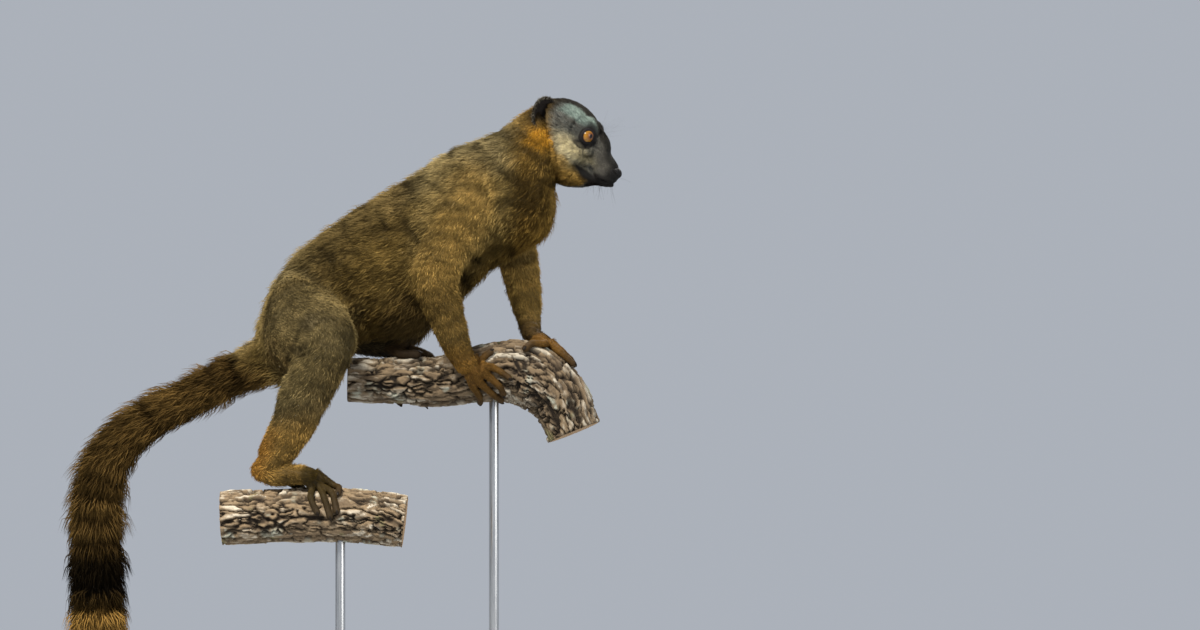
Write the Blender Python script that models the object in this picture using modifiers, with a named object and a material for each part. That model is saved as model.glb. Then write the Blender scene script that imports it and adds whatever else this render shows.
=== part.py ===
"""Brown lemur, life size, climbing over two cut branches on a museum display stand.

Lengths are in millimetres until the meshes are made. The lemur's own frame has x forwards, y to its
left from the midline and z up from the underside of the stand's base. MIDLINE shifts it sideways, so
that the world's origin is the centre of the base's underside.
"""

import math

import bmesh
import bpy
import numpy as np
from mathutils import Matrix, Vector

MM = 0.001
GAP = 0.3  # clearance between pieces that touch
HEAD_GAP = 0.6  # the same round the head, whose facets are coarser
MIDLINE = 35.0  # the lemur's midline, to the left of the base's centre
LEFT = Vector((0, 1, 0))
UP = Vector((0, 0, 1))

# ---------------------------------------------------------------- driving dimensions

# Trunk and neck, from rump to nape: x, z, lean of the section in degrees, half height, half width.
BODY = [
    (-125.5, 491, 12, 36.8, 30),
    (-111.5, 501.5, 15, 51.3, 41),
    (-95.5, 514, 17, 58.7, 47),
    (-74, 534, 18, 62.5, 51),
    (-46.5, 555, 17, 62.5, 53),
    (-16, 568.5, 15, 71.5, 56),
    (15.5, 581, 17, 75, 57),
    (60.5, 612.5, 16, 73, 55),
    (85, 632.5, 17, 69.5, 52),
    (126, 652, 27, 64, 47),
    (144, 669, 24, 58, 41),
    (154, 684.5, 19, 52, 35),
    (160, 695, 14, 46, 29),
]
NECK_STARTS = 9  # station of BODY where the neck begins

# Tail, from root to tip: x, y, z, half width, half thickness.
TAIL = [
    (-112, 0, 488, 25, 30),
    (-135, 1, 475, 24, 27),
    (-166, 3, 461, 22, 24),
    (-202, 6, 441, 23, 24),
    (-243, 9, 419, 25, 26),
    (-278, 10, 387, 27, 28),
    (-293, 10, 345, 28, 29),
    (-294, 8, 298, 30, 31),
    (-293, 5, 250, 31, 32),
    (-291, 2, 200, 31, 32),
    (-288, 0, 140, 29, 30),
    (-283, -1, 90, 23, 24),
    (-279, -2, 58, 12, 12),
]
TAIL_CUTS = (4, 8)  # stations where the tail is divided into its three lengths

# Limbs: x, y, z, half width across, half thickness. The right side is the one that the photo shows.
THIGH_RIGHT = [
    (-94, -20, 517, 60, 42),
    (-81, -60, 508, 52, 48),
    (-64, -88, 500, 41, 41),
    (-55, -106, 495, 30, 30),
]
SHANK_RIGHT = [
    (-56, -105, 493, 27, 28),
    (-72, -103, 464, 27, 30),
    (-86, -101, 440, 26, 30),
    (-94, -98, 417, 22, 27),
    (-108, -95, 395, 17, 22),
    (-115, -92, 381, 16, 20),
]
THIGH_LEFT = [
    (-95, 20, 518, 52, 42),
    (-55, 57, 549, 44, 39),
    (-10, 82, 566, 36, 34),
    (29, 93, 547, 27, 26),
]
SHANK_LEFT = [
    (31, 94, 543, 26, 25),
    (22, 82, 523, 26, 26),
    (6, 64, 508, 24, 24),
    (-12, 46, 501, 20, 20),
    (-28, 32, 500, 16, 16),
]
ARM_RIGHT = [
    (89, -19, 654, 20, 34),
    (82, -34, 636, 25, 40),
    (64, -44, 608, 24, 37),
    (49, -55, 576, 23, 31),
    (47, -61, 552, 22, 28),
    (57, -59, 524, 19, 23),
    (66, -53, 497, 15, 18),
    (76, -46, 476, 12, 13.5),
]
ARM_LEFT = [
    (98, 16, 662, 20, 32),
    (104, 30, 642, 25, 38),
    (114, 42, 616, 24, 33),
    (127, 53, 584, 22, 26),
    (132, 52, 560, 20, 23),
    (136, 43, 538, 17, 19.5),
    (139, 32, 519, 13, 14.5),
    (141, 22, 506, 11, 12),
]
ELBOW = 4  # station of each arm where the forearm begins

# Hands and feet. First the palm or sole, from wrist or heel: x, y, z, half width, half height. Then
# each digit, the thumb or great toe last: its root, the points of the branch that it goes over as x and
# degrees from the top towards its right, and its radius.
FOOT_RIGHT = (
    [
        (-127, -91, 371.5, 11, 11),
        (-114, -91, 367, 13, 12.5),
        (-98, -94, 364.5, 14, 11),
        (-85, -98, 362, 15, 9),
    ],
    [
        ((-86, -108, 363), [(-82, 42), (-78, 66), (-75, 86)], 3.9),
        ((-82, -104, 365), [(-75, 36), (-69, 66), (-64, 91)], 4.2),
        ((-77, -99, 367), [(-68, 28), (-61, 56), (-56, 83)], 4.2),
        ((-73, -95, 368), [(-62, 18), (-55, 38), (-51, 60)], 3.9),
        ((-104, -84, 365), [(-92, -28), (-84, -62), (-82, -90)], 5),
    ],
)
FOOT_LEFT = (
    [
        (-38, 22, 498, 10.5, 10.5),
        (-25, 19, 495, 12, 11),
        (-6, 13, 492, 13, 9.5),
        (10, 9, 491, 14, 8.5),
    ],
    [
        ((6, 17, 489), [(6, -42), (4, -78), (6, -114), (10, -142)], 3.8),
        ((12, 16, 489), [(20, -40), (26, -78), (32, -114), (36, -142)], 4.1),
        ((17, 12, 490), [(30, -34), (41, -70), (50, -106), (55, -136)], 4.1),
        ((19, 6, 490), [(34, -20), (47, -50), (56, -82), (61, -110)], 3.9),
        ((-4, 7, 491), [(8, 8), (17, 14), (25, 17)], 4.6),
    ],
)
HAND_RIGHT = (
    [
        (72, -47, 486, 10, 10.5),
        (79, -46, 477, 11, 9),
        (85, -44, 469, 12, 7.5),
    ],
    [
        ((79, -47, 467), [(81, 110), (84, 134), (87, 152)], 3.4),
        ((85, -46, 466), [(92, 108), (100, 131), (106, 150)], 3.5),
        ((90, -44, 469), [(101, 98), (109, 116), (114, 132)], 3.5),
        ((92, -41, 474), [(104, 82), (113, 92), (119, 101)], 3.3),
        ((83, -41, 481), [(90, 66), (97, 57), (103, 53)], 3.7),
    ],
)
HAND_LEFT = (
    [
        (140, 22, 510, 10, 9),
        (146, 14, 504, 12, 8),
        (154, 9, 499, 13, 7),
    ],
    [
        ((152, 18, 499), [(148, -40), (152, -58), (154, -74)], 3.5),
        ((157, 13, 498), [(150, -26), (156, -38), (159, -51)], 3.7),
        ((160, 7, 497), [(151, -8), (157, -14), (161, -22)], 3.7),
        ((158, 1, 496), [(150, 12), (156, 14), (160, 12)], 3.5),
        ((146, 4, 500), [(140, 14), (134, 30), (130, 46)], 3.9),
    ],
)

# Branches: x, y, z, radius.
PERCH_UPPER = [
    (-42, -5, 460, 21.5),
    (10, -5, 459, 24),
    (50, -5, 459, 25.5),
    (86, -5, 465, 28.5),
    (120, -5, 469, 32),
    (148, -6, 461, 33),
    (170, -8, 440, 30.5),
    (184, -10, 408, 28),
]
PERCH_LOWER = [
    (-166, -86, 323, 27),
    (-120, -88, 325, 27),
    (-70, -89, 327, 27.5),
    (-20, -90, 324, 27),
    (16, -91, 320, 26),
]

# Display stand.
BASE_SIZE = (350, 230, 22)
BASE_EDGE = 3  # bevel of its edges
ROD_RADIUS = 5
ROD_DEPTH = 14  # how far each rod is let into the base and into its branch
ROD_UPPER_XY = (104, -5)
ROD_LOWER_XY = (-48, -90)

# Head: a frame between the eyes, nose down and turned a little to the lemur's right.
HEAD_AT = (204, 0, 700.5)
HEAD_PITCH = math.radians(35)
HEAD_YAW = math.radians(12)
EYE_AT = (-5, 17.2, -1.8)  # forwards, sideways, up from the head's frame
EYE_RADIUS = 7.6
# Ellipsoids of the head: centre forwards, sideways, up, then the three half axes.
CRANIUM = (-26, 0, -3, 31, 28, 25.5)
THROAT = (-6, 0, -22, 26, 16, 18)
BROW = (-9, 10.5, 5, 15, 12, 13.5)
CHEEK = (-15, 19, -25, 26, 17, 25)
NOSE_PAD = (43.5, 0, -15.5, 4.2, 5.2, 4.6)
# Tapering forms of the head: forwards, sideways, up, half width, half height.
MUZZLE = [
    (-8, 0, -8, 20, 24),
    (4, 0, -7, 16.5, 21.5),
    (12, 0, -9.5, 15, 19.5),
    (20, 0, -14, 13, 16),
    (31, 0, -18.3, 11.2, 12.8),
    (40, 0, -20, 9.4, 10.2),
    (44.5, 0, -20, 6.8, 7),
]
JAW = [
    (-22, 0, -36, 25, 19),
    (-2, 0, -38, 21, 17),
    (14, 0, -35, 14, 11),
    (26, 0, -31.5, 9.5, 6),
    (37, 0, -28.5, 7, 4.2),
    (42, 0, -27, 4.5, 3),
]
EAR_SIZE = (8, 14, 16)  # half depth of the cup, half width, half height
EAR_WALL = 3.2
EAR_AT = (-48, 25, -7)

# Digits, whose own sizes stand with each hand and foot.
DIGIT_LIFT = 1.0  # clearance of a digit from the bark
DIGIT_ALONG = (0, 0.55, 0.8, 1)  # where along a digit its thickness is told
DIGIT_TAPER = (1.15, 0.95, 0.85, 1.1)  # and how thick it is there

# Detail of the meshes.
SIDES = 16
TRUNK_SIDES = 18
TAIL_SIDES = 14
LIMB_SIDES = 12
BRANCH_SIDES = 14
DOME_RINGS = 2  # in each round end of a form
DOME_ANGLE = math.radians(80)  # how far round such an end goes
HEAD_VOXEL = 2.2
HEAD_SOFTENING = 5  # rounds of smoothing
HEAD_THINNING = 0.055  # share of the faces that stay
DIGIT_VOXEL = 1.5
DIGIT_SOFTENING = 2
DIGIT_THINNING = 0.042

# ---------------------------------------------------------------- scene and materials


def clear_scene():
    """Empties the scene of the objects it opened with."""
    for thing in list(bpy.data.objects):
        bpy.data.objects.remove(thing)


def new_collection(name, hidden=False):
    """A collection under the scene's own."""
    made = bpy.data.collections.new(name)
    made.hide_render = hidden
    bpy.context.scene.collection.children.link(made)
    return made


def principled(name, colour, roughness, metallic=0.0):
    """A Principled material of one colour."""
    made = bpy.data.materials.new(name)
    made.use_nodes = True
    shader = made.node_tree.nodes["Principled BSDF"]
    shader.inputs["Base Color"].default_value = (*colour, 1)
    shader.inputs["Roughness"].default_value = roughness
    shader.inputs["Metallic"].default_value = metallic
    return made


clear_scene()
LEMUR = new_collection("brown_lemur")
CUTTERS = new_collection("cutters", hidden=True)
BODY_FUR = principled("body_fur", (0.16, 0.115, 0.06), 0.85)
TAIL_FUR = principled("tail_fur", (0.075, 0.05, 0.03), 0.85)
LIMB_FUR = principled("limb_fur", (0.2, 0.125, 0.05), 0.85)
FACE_FUR = principled("face_fur", (0.13, 0.13, 0.125), 0.8)
DIGIT_SKIN = principled("digit_skin", (0.12, 0.075, 0.04), 0.6)
EYE = principled("eye", (0.7, 0.22, 0.02), 0.08)
BARK = principled("bark", (0.2, 0.17, 0.14), 0.9)
STAND_WOOD = principled("stand_wood", (0.05, 0.045, 0.04), 0.4)
STAND_STEEL = principled("stand_steel", (0.3, 0.3, 0.31), 0.35, 1.0)

# ---------------------------------------------------------------- shapes


def smooth(stations, per_span=3):
    """Catmull-Rom rows through the stations, every number of a station interpolated alike."""
    rows = np.array(stations, float)
    padded = np.vstack([2 * rows[0] - rows[1], rows, 2 * rows[-1] - rows[-2]])
    made = []
    for i in range(len(rows) - 1):
        a, b, c, d = padded[i : i + 4]
        for t in np.arange(per_span) / per_span:
            spline = 2 * b + (c - a) * t + (2 * a - 5 * b + 4 * c - d) * t**2
            made.append(0.5 * (spline + (3 * b - a - 3 * c + d) * t**3))
    return np.array(made + [rows[-1]])


def tangents(centres):
    """The unit direction of a row of points at each of them."""
    along = np.gradient(centres, axis=0)
    return [Vector(v).normalized() for v in along]


def body_sections(rows):
    """Rows of the trunk as centre, direction, half width and half height."""
    made = []
    for x, z, lean, half_height, half_width in rows:
        turn = math.radians(lean)
        ahead = Vector((math.cos(turn), 0, math.sin(turn)))
        made.append((Vector((x, 0, z)), ahead, half_width, half_height))
    return made


def limb_sections(rows):
    """Rows of a limb as centre, direction and the two half sizes; a round one has a single radius."""
    ahead = tangents(rows[:, :3])
    return [
        (Vector(row[:3]), ahead[i], row[3], row[-1]) for i, row in enumerate(rows)
    ]


def cut_at(sections, *rows):
    """The sections in lengths, divided at these rows by a thin cut."""
    lengths = []
    start = 0
    for row in (*rows, len(sections) - 1):
        length = list(sections[start : row + 1])
        if start:
            centre, ahead, across, through = length[0]
            length[0] = (centre + ahead * GAP, ahead, across, through)
        lengths.append(length)
        start = row
    return lengths


def domed(sections, first, last):
    """The sections with a round end of the given length before the first and after the last."""
    made = list(sections)
    for index, length, sign in ((0, first, -1), (-1, last, 1)):
        if not length:
            continue
        centre, ahead, across, through = sections[index]
        for number in range(1, DOME_RINGS + 1):
            angle = DOME_ANGLE * number / DOME_RINGS
            step = sign * length * math.sin(angle)
            size = math.cos(angle)
            ring = (centre + ahead * step, ahead, across * size, through * size)
            made.insert(0 if index == 0 else len(made), ring)
    return made


def ring_of(bm, section, reference, sides, grow):
    """One elliptical ring of vertices."""
    centre, ahead, across, through = section
    side = (reference - reference.dot(ahead) * ahead).normalized()
    up = ahead.cross(side)
    ring = []
    for i in range(sides):
        angle = 2 * math.pi * i / sides
        out = side * (across + grow) * math.cos(angle) + up * (through + grow) * math.sin(angle)
        ring.append(bm.verts.new((centre + out) * MM))
    return ring


def add_loft(bm, sections, reference=LEFT, sides=SIDES, grow=0.0):
    """A closed loft through elliptical sections."""
    rings = [ring_of(bm, s, reference, sides, grow) for s in sections]
    for low, high in zip(rings, rings[1:]):
        for i in range(sides):
            j = (i + 1) % sides
            bm.faces.new((low[i], low[j], high[j], high[i]))
    bm.faces.new(reversed(rings[0]))
    bm.faces.new(rings[-1])


def add_ellipsoid(bm, ellipsoid, place, segments=24):
    """An ellipsoid in the frame of the matrix place."""
    size = Matrix.Diagonal((*ellipsoid[3:], 1))
    move = Matrix.Translation(ellipsoid[:3])
    bmesh.ops.create_uvsphere(
        bm, u_segments=segments, v_segments=segments // 2, radius=1, matrix=place @ move @ size
    )


def scale_to_metres(bm):
    """For shapes made of primitives in millimetres."""
    bmesh.ops.scale(bm, vec=(MM, MM, MM), verts=bm.verts)


def finish(bm, name, material, collection=LEMUR):
    """The mesh as an object, shifted to the lemur's midline. Cutters have no material."""
    bmesh.ops.recalc_face_normals(bm, faces=bm.faces)
    mesh = bpy.data.meshes.new(name)
    bm.to_mesh(mesh)
    bm.free()
    thing = bpy.data.objects.new(name, mesh)
    collection.objects.link(thing)
    thing.location.y = MIDLINE * MM
    mesh.shade_smooth()
    if material:
        mesh.materials.append(material)
    else:
        thing.hide_render = True
        thing.display_type = "WIRE"
    return thing


def loft(name, sections, material, reference=LEFT, sides=SIDES, grow=0.0, collection=LEMUR):
    """A loft as an object."""
    bm = bmesh.new()
    add_loft(bm, sections, reference, sides, grow)
    return finish(bm, name, material, collection)


def cutter(name, sections, reference=LEFT, sides=SIDES):
    """The same loft grown by the gap, as a Boolean cutter."""
    return loft("cut_" + name, sections, None, reference, sides, GAP, CUTTERS)


def subtract(thing, *cutters):
    """Takes the cutters' space out of the object."""
    for other in cutters:
        modifier = thing.modifiers.new("less_" + other.name, "BOOLEAN")
        modifier.operation = "DIFFERENCE"
        modifier.object = other


def fuse(thing, voxel, rounds, ratio):
    """Melts the overlapping forms of a mesh into one surface, smooths it and thins it out."""
    melt = thing.modifiers.new("melt", "REMESH")
    melt.mode = "VOXEL"
    melt.voxel_size = voxel * MM
    melt.use_smooth_shade = True
    soften = thing.modifiers.new("soften", "SMOOTH")
    soften.factor = 0.5
    soften.iterations = rounds
    thin = thing.modifiers.new("thin", "DECIMATE")
    thin.ratio = ratio


# ---------------------------------------------------------------- trunk, neck and tail


def trunk_and_neck():
    """The trunk with a round rump, and the neck in front of a thin cut. Returns their cutter."""
    per_span = 2
    sections = domed(body_sections(smooth(BODY, per_span)), 9, 0)
    behind, ahead = cut_at(sections, DOME_RINGS + NECK_STARTS * per_span)
    loft("trunk", behind, BODY_FUR, sides=TRUNK_SIDES)
    loft("neck", ahead, BODY_FUR, sides=TRUNK_SIDES)
    return cutter("trunk", sections, sides=TRUNK_SIDES)


def tail(trunk_cutter):
    """The tail in three lengths, its root cut by the rump."""
    per_span = 2
    sections = domed(limb_sections(smooth(TAIL, per_span)), 0, 14)
    lengths = cut_at(sections, *(c * per_span for c in TAIL_CUTS))
    names = ("tail_root", "tail_middle", "tail_end")
    made = [loft(n, s, TAIL_FUR, sides=TAIL_SIDES) for n, s in zip(names, lengths)]
    subtract(made[0], trunk_cutter)


# ---------------------------------------------------------------- head

HEAD_FRAME = (
    Matrix.Translation(HEAD_AT)
    @ Matrix.Rotation(HEAD_PITCH, 4, "Y")
    @ Matrix.Rotation(-HEAD_YAW, 4, "Z")
)


def mirrored(form):
    """A paired form of the head, for each side."""
    return [(form[0], side * form[1], *form[2:]) for side in (1, -1)]


def add_tapering_form(bm, stations, ends):
    """A loft along the head, made in the head's frame."""
    lofted = bmesh.new()
    add_loft(lofted, domed(limb_sections(smooth(stations, 2)), *ends))
    bmesh.ops.scale(lofted, vec=(1 / MM, 1 / MM, 1 / MM), verts=lofted.verts)
    bmesh.ops.transform(lofted, matrix=HEAD_FRAME, verts=lofted.verts)
    mesh = bpy.data.meshes.new("form")
    lofted.to_mesh(mesh)
    lofted.free()
    bm.from_mesh(mesh)
    bpy.data.meshes.remove(mesh)


def head_forms(name, material, collection):
    """Skull, brows, cheeks, muzzle, jaw and nose, melted into one head."""
    bm = bmesh.new()
    add_ellipsoid(bm, CRANIUM, HEAD_FRAME)
    add_ellipsoid(bm, THROAT, HEAD_FRAME)
    add_ellipsoid(bm, NOSE_PAD, HEAD_FRAME, 12)
    for form in mirrored(BROW) + mirrored(CHEEK):
        add_ellipsoid(bm, form, HEAD_FRAME)
    add_tapering_form(bm, MUZZLE, (10, 4))
    add_tapering_form(bm, JAW, (12, 3))
    scale_to_metres(bm)
    thing = finish(bm, name, material, collection)
    fuse(thing, HEAD_VOXEL, HEAD_SOFTENING, HEAD_THINNING)
    return thing


def eyes():
    """The two eyeballs. Returns a slightly larger cutter for their sockets."""
    sockets = bmesh.new()
    for form, name in zip(mirrored(EYE_AT), ("eye_left", "eye_right")):
        ball = bmesh.new()
        add_ellipsoid(ball, (*form, *[EYE_RADIUS] * 3), HEAD_FRAME, 12)
        add_ellipsoid(sockets, (*form, *[EYE_RADIUS + GAP] * 3), HEAD_FRAME, 12)
        scale_to_metres(ball)
        finish(ball, name, EYE)
    scale_to_metres(sockets)
    return finish(sockets, "cut_sockets", None, CUTTERS)


def ear(name, side, head_cutter):
    """A cupped round ear, open outwards and forwards, cut by the head."""
    bm = bmesh.new()
    bmesh.ops.create_uvsphere(bm, u_segments=12, v_segments=6, radius=1)
    bmesh.ops.bisect_plane(
        bm,
        geom=bm.verts[:] + bm.edges[:] + bm.faces[:],
        plane_co=(0.12, 0, 0),
        plane_no=(1, 0, 0),
        clear_outer=True,
    )
    depth, width, height = EAR_SIZE
    bmesh.ops.scale(bm, vec=(depth, width, height), verts=bm.verts)
    # The cup's mouth (+x) turns outwards and forwards, and its top leans back.
    turn = Matrix.Rotation(math.radians(48 * side), 4, "Z") @ Matrix.Rotation(
        math.radians(-24), 4, "Y"
    )
    place = HEAD_FRAME @ Matrix.Translation((EAR_AT[0], side * EAR_AT[1], EAR_AT[2])) @ turn
    bmesh.ops.transform(bm, matrix=place, verts=bm.verts)
    scale_to_metres(bm)
    thing = finish(bm, name, FACE_FUR)
    wall = thing.modifiers.new("wall", "SOLIDIFY")
    wall.thickness = EAR_WALL * MM
    wall.offset = 0
    subtract(thing, head_cutter)
    return thing


def head(trunk_cutter):
    """The head with its eyes and ears. The neck is cut back to it."""
    skull = head_forms("head", FACE_FUR, LEMUR)
    grown = head_forms("cut_head", None, CUTTERS)
    swell = grown.modifiers.new("swell", "DISPLACE")
    swell.strength = HEAD_GAP * MM
    swell.mid_level = 0
    subtract(bpy.data.objects["neck"], grown)
    subtract(skull, eyes())
    for name, side in (("ear_left", 1), ("ear_right", -1)):
        subtract(ear(name, side, grown), trunk_cutter)


# ---------------------------------------------------------------- branches and digits


def perch_sections(stations):
    """Smooth sections of a branch, whose two half sizes are its radius."""
    return limb_sections(smooth(stations, 2))


def on_perch(stations, x, turn, lift):
    """A point on a branch's bark at x, turned from its top towards its right, lifted off it."""
    rows = smooth(stations, 8)
    ahead = tangents(rows[:, :3])
    i = int(np.argmin(np.abs(rows[:, 0] - x)))
    over = (UP - UP.dot(ahead[i]) * ahead[i]).normalized()
    aside = ahead[i].cross(over)
    angle = math.radians(turn)
    out = over * math.cos(angle) + aside * math.sin(angle)
    return Vector(rows[i, :3]) + out * (rows[i, 3] + lift)


def digit(bm, stations, root, path, radius):
    """A finger or toe: from its root over its branch, by pairs of x and turn, to a broad pad."""
    points = [Vector(root)]
    points += [on_perch(stations, x, turn, radius + DIGIT_LIFT) for x, turn in path]
    sizes = np.interp(np.linspace(0, 1, len(points)), DIGIT_ALONG, DIGIT_TAPER)
    rows = [(*p, radius * s, radius * s) for p, s in zip(points, sizes)]
    add_loft(bm, domed(limb_sections(smooth(rows, 3)), 2, radius), reference=UP, sides=10)


def extremity(name, shape, stations, *cutters):
    """A hand or foot: its palm or sole and its digits melted together, cut clear of branch and limb."""
    palm, digits = shape
    bm = bmesh.new()
    add_loft(bm, domed(limb_sections(smooth(palm, 2)), 8, 6), sides=LIMB_SIDES)
    for root, path, radius in digits:
        digit(bm, stations, root, path, radius)
    thing = finish(bm, name, DIGIT_SKIN)
    fuse(thing, DIGIT_VOXEL, DIGIT_SOFTENING, DIGIT_THINNING)
    subtract(thing, *cutters)


def perch(name, stations, rod_xy):
    """A cut length of branch on its rod. Returns the cutters for the rod's holes and the branch."""
    sections = perch_sections(stations)
    branch = loft(name, sections, BARK, sides=BRANCH_SIDES)
    rows = smooth(stations, 8)
    near = rows[int(np.argmin(np.abs(rows[:, 0] - rod_xy[0])))]
    top = near[2] - near[3] + ROD_DEPTH
    bottom = BASE_SIZE[2] - ROD_DEPTH
    which = name.removeprefix("perch_")
    cylinder("stand_rod_" + which, rod_xy, bottom, top, ROD_RADIUS, STAND_STEEL, LEMUR)
    wider = ROD_RADIUS + GAP
    hole = cylinder("cut_rod_" + which, rod_xy, bottom - GAP, top + GAP, wider, None, CUTTERS)
    subtract(branch, hole)
    return hole, cutter(name, sections, sides=BRANCH_SIDES)


def cylinder(name, xy, bottom, top, radius, material, collection):
    """An upright round rod."""
    bm = bmesh.new()
    bmesh.ops.create_cone(
        bm,
        cap_ends=True,
        segments=16,
        radius1=radius,
        radius2=radius,
        depth=top - bottom,
        matrix=Matrix.Translation((*xy, (bottom + top) / 2)),
    )
    scale_to_metres(bm)
    thing = finish(bm, name, material, collection)
    thing.data.set_sharp_from_angle(angle=math.radians(40))
    return thing


def stand_base(*holes):
    """The flat base, its edges bevelled, with a blind hole for each rod."""
    bm = bmesh.new()
    width, depth, height = BASE_SIZE
    size = Matrix.Diagonal((width, depth, height, 1))
    bmesh.ops.create_cube(bm, size=1, matrix=Matrix.Translation((0, 0, height / 2)) @ size)
    scale_to_metres(bm)
    base = finish(bm, "stand_base", STAND_WOOD)
    base.location.y = 0
    base.data.shade_flat()
    edge = base.modifiers.new("edge", "BEVEL")
    edge.width = BASE_EDGE * MM
    edge.segments = 1
    subtract(base, *holes)


# ---------------------------------------------------------------- limbs


def leg(side, thigh, shank, trunk_cutter, upper_cutter):
    """Thigh and shank, each cut by what it grows from. Returns the shank's cutter."""
    above = domed(limb_sections(smooth(thigh, 2)), 6, 13)
    subtract(loft("thigh_" + side, above, BODY_FUR, UP, LIMB_SIDES), trunk_cutter)
    below = domed(limb_sections(smooth(shank, 2)), 14, 6)
    thigh_cutter = cutter("thigh_" + side, above, UP, LIMB_SIDES)
    shin = loft("shank_" + side, below, LIMB_FUR, sides=LIMB_SIDES)
    subtract(shin, thigh_cutter, trunk_cutter, upper_cutter)
    return cutter("shank_" + side, below, sides=LIMB_SIDES)


def arm(side, stations, trunk_cutter, upper_cutter):
    """Upper arm and forearm, divided at the elbow. Returns the arm's cutter."""
    per_span = 2
    sections = domed(limb_sections(smooth(stations, per_span)), 8, 5)
    above, below = cut_at(sections, DOME_RINGS + ELBOW * per_span)
    subtract(loft("upper_arm_" + side, above, LIMB_FUR, sides=LIMB_SIDES), trunk_cutter)
    forearm = loft("forearm_" + side, below, LIMB_FUR, sides=LIMB_SIDES)
    subtract(forearm, trunk_cutter, upper_cutter)
    return cutter("arm_" + side, sections, sides=LIMB_SIDES)


def build():
    """Builds every node."""
    trunk_cutter = trunk_and_neck()
    tail(trunk_cutter)
    head(trunk_cutter)
    hole_upper, upper_cutter = perch("perch_upper", PERCH_UPPER, ROD_UPPER_XY)
    hole_lower, lower_cutter = perch("perch_lower", PERCH_LOWER, ROD_LOWER_XY)
    stand_base(hole_upper, hole_lower)

    shin = leg("right", THIGH_RIGHT, SHANK_RIGHT, trunk_cutter, upper_cutter)
    extremity("foot_right", FOOT_RIGHT, PERCH_LOWER, shin, lower_cutter)
    shin = leg("left", THIGH_LEFT, SHANK_LEFT, trunk_cutter, upper_cutter)
    extremity("foot_left", FOOT_LEFT, PERCH_UPPER, shin, upper_cutter, trunk_cutter)
    for side, stations, hand in (("right", ARM_RIGHT, HAND_RIGHT), ("left", ARM_LEFT, HAND_LEFT)):
        arm_cutter = arm(side, stations, trunk_cutter, upper_cutter)
        extremity("hand_" + side, hand, PERCH_UPPER, arm_cutter, upper_cutter)


build()
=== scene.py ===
"""The looks of a life-size brown lemur, climbing over two cut branches on a museum display stand.

Lengths are in millimetres, in the lemur's own frame, until a mesh is made: x forwards, y to its left
from the midline, z up from the floor. The head has a frame of its own: u forwards, w left, v up.
Colours are linear red, green and blue.
"""

import math

import bmesh
import bpy
import numpy as np
from mathutils import Matrix, Vector
from mathutils.kdtree import KDTree


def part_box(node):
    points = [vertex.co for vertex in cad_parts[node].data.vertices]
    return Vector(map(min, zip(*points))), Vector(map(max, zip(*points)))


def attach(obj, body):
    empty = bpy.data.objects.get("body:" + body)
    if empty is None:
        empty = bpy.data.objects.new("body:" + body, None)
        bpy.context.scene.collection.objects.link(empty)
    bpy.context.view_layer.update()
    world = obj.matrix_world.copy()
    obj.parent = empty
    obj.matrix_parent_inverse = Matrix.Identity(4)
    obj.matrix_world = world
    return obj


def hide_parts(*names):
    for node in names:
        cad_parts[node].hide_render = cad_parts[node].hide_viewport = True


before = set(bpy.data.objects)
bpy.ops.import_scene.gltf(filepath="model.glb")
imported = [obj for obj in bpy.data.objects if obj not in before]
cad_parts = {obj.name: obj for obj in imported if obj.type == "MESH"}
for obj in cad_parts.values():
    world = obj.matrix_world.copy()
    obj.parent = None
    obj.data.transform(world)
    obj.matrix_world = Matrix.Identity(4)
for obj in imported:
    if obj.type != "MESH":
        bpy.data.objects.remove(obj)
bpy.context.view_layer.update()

MM = 0.001
MIDLINE = np.array([0, 35.0, 0])
UP = np.array([0, 0, 1.0])
LEFT = np.array([0, 1.0, 0])
TURN = 2 * math.pi
rng = np.random.default_rng(7)

# ---------------- the lemur's build

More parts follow.
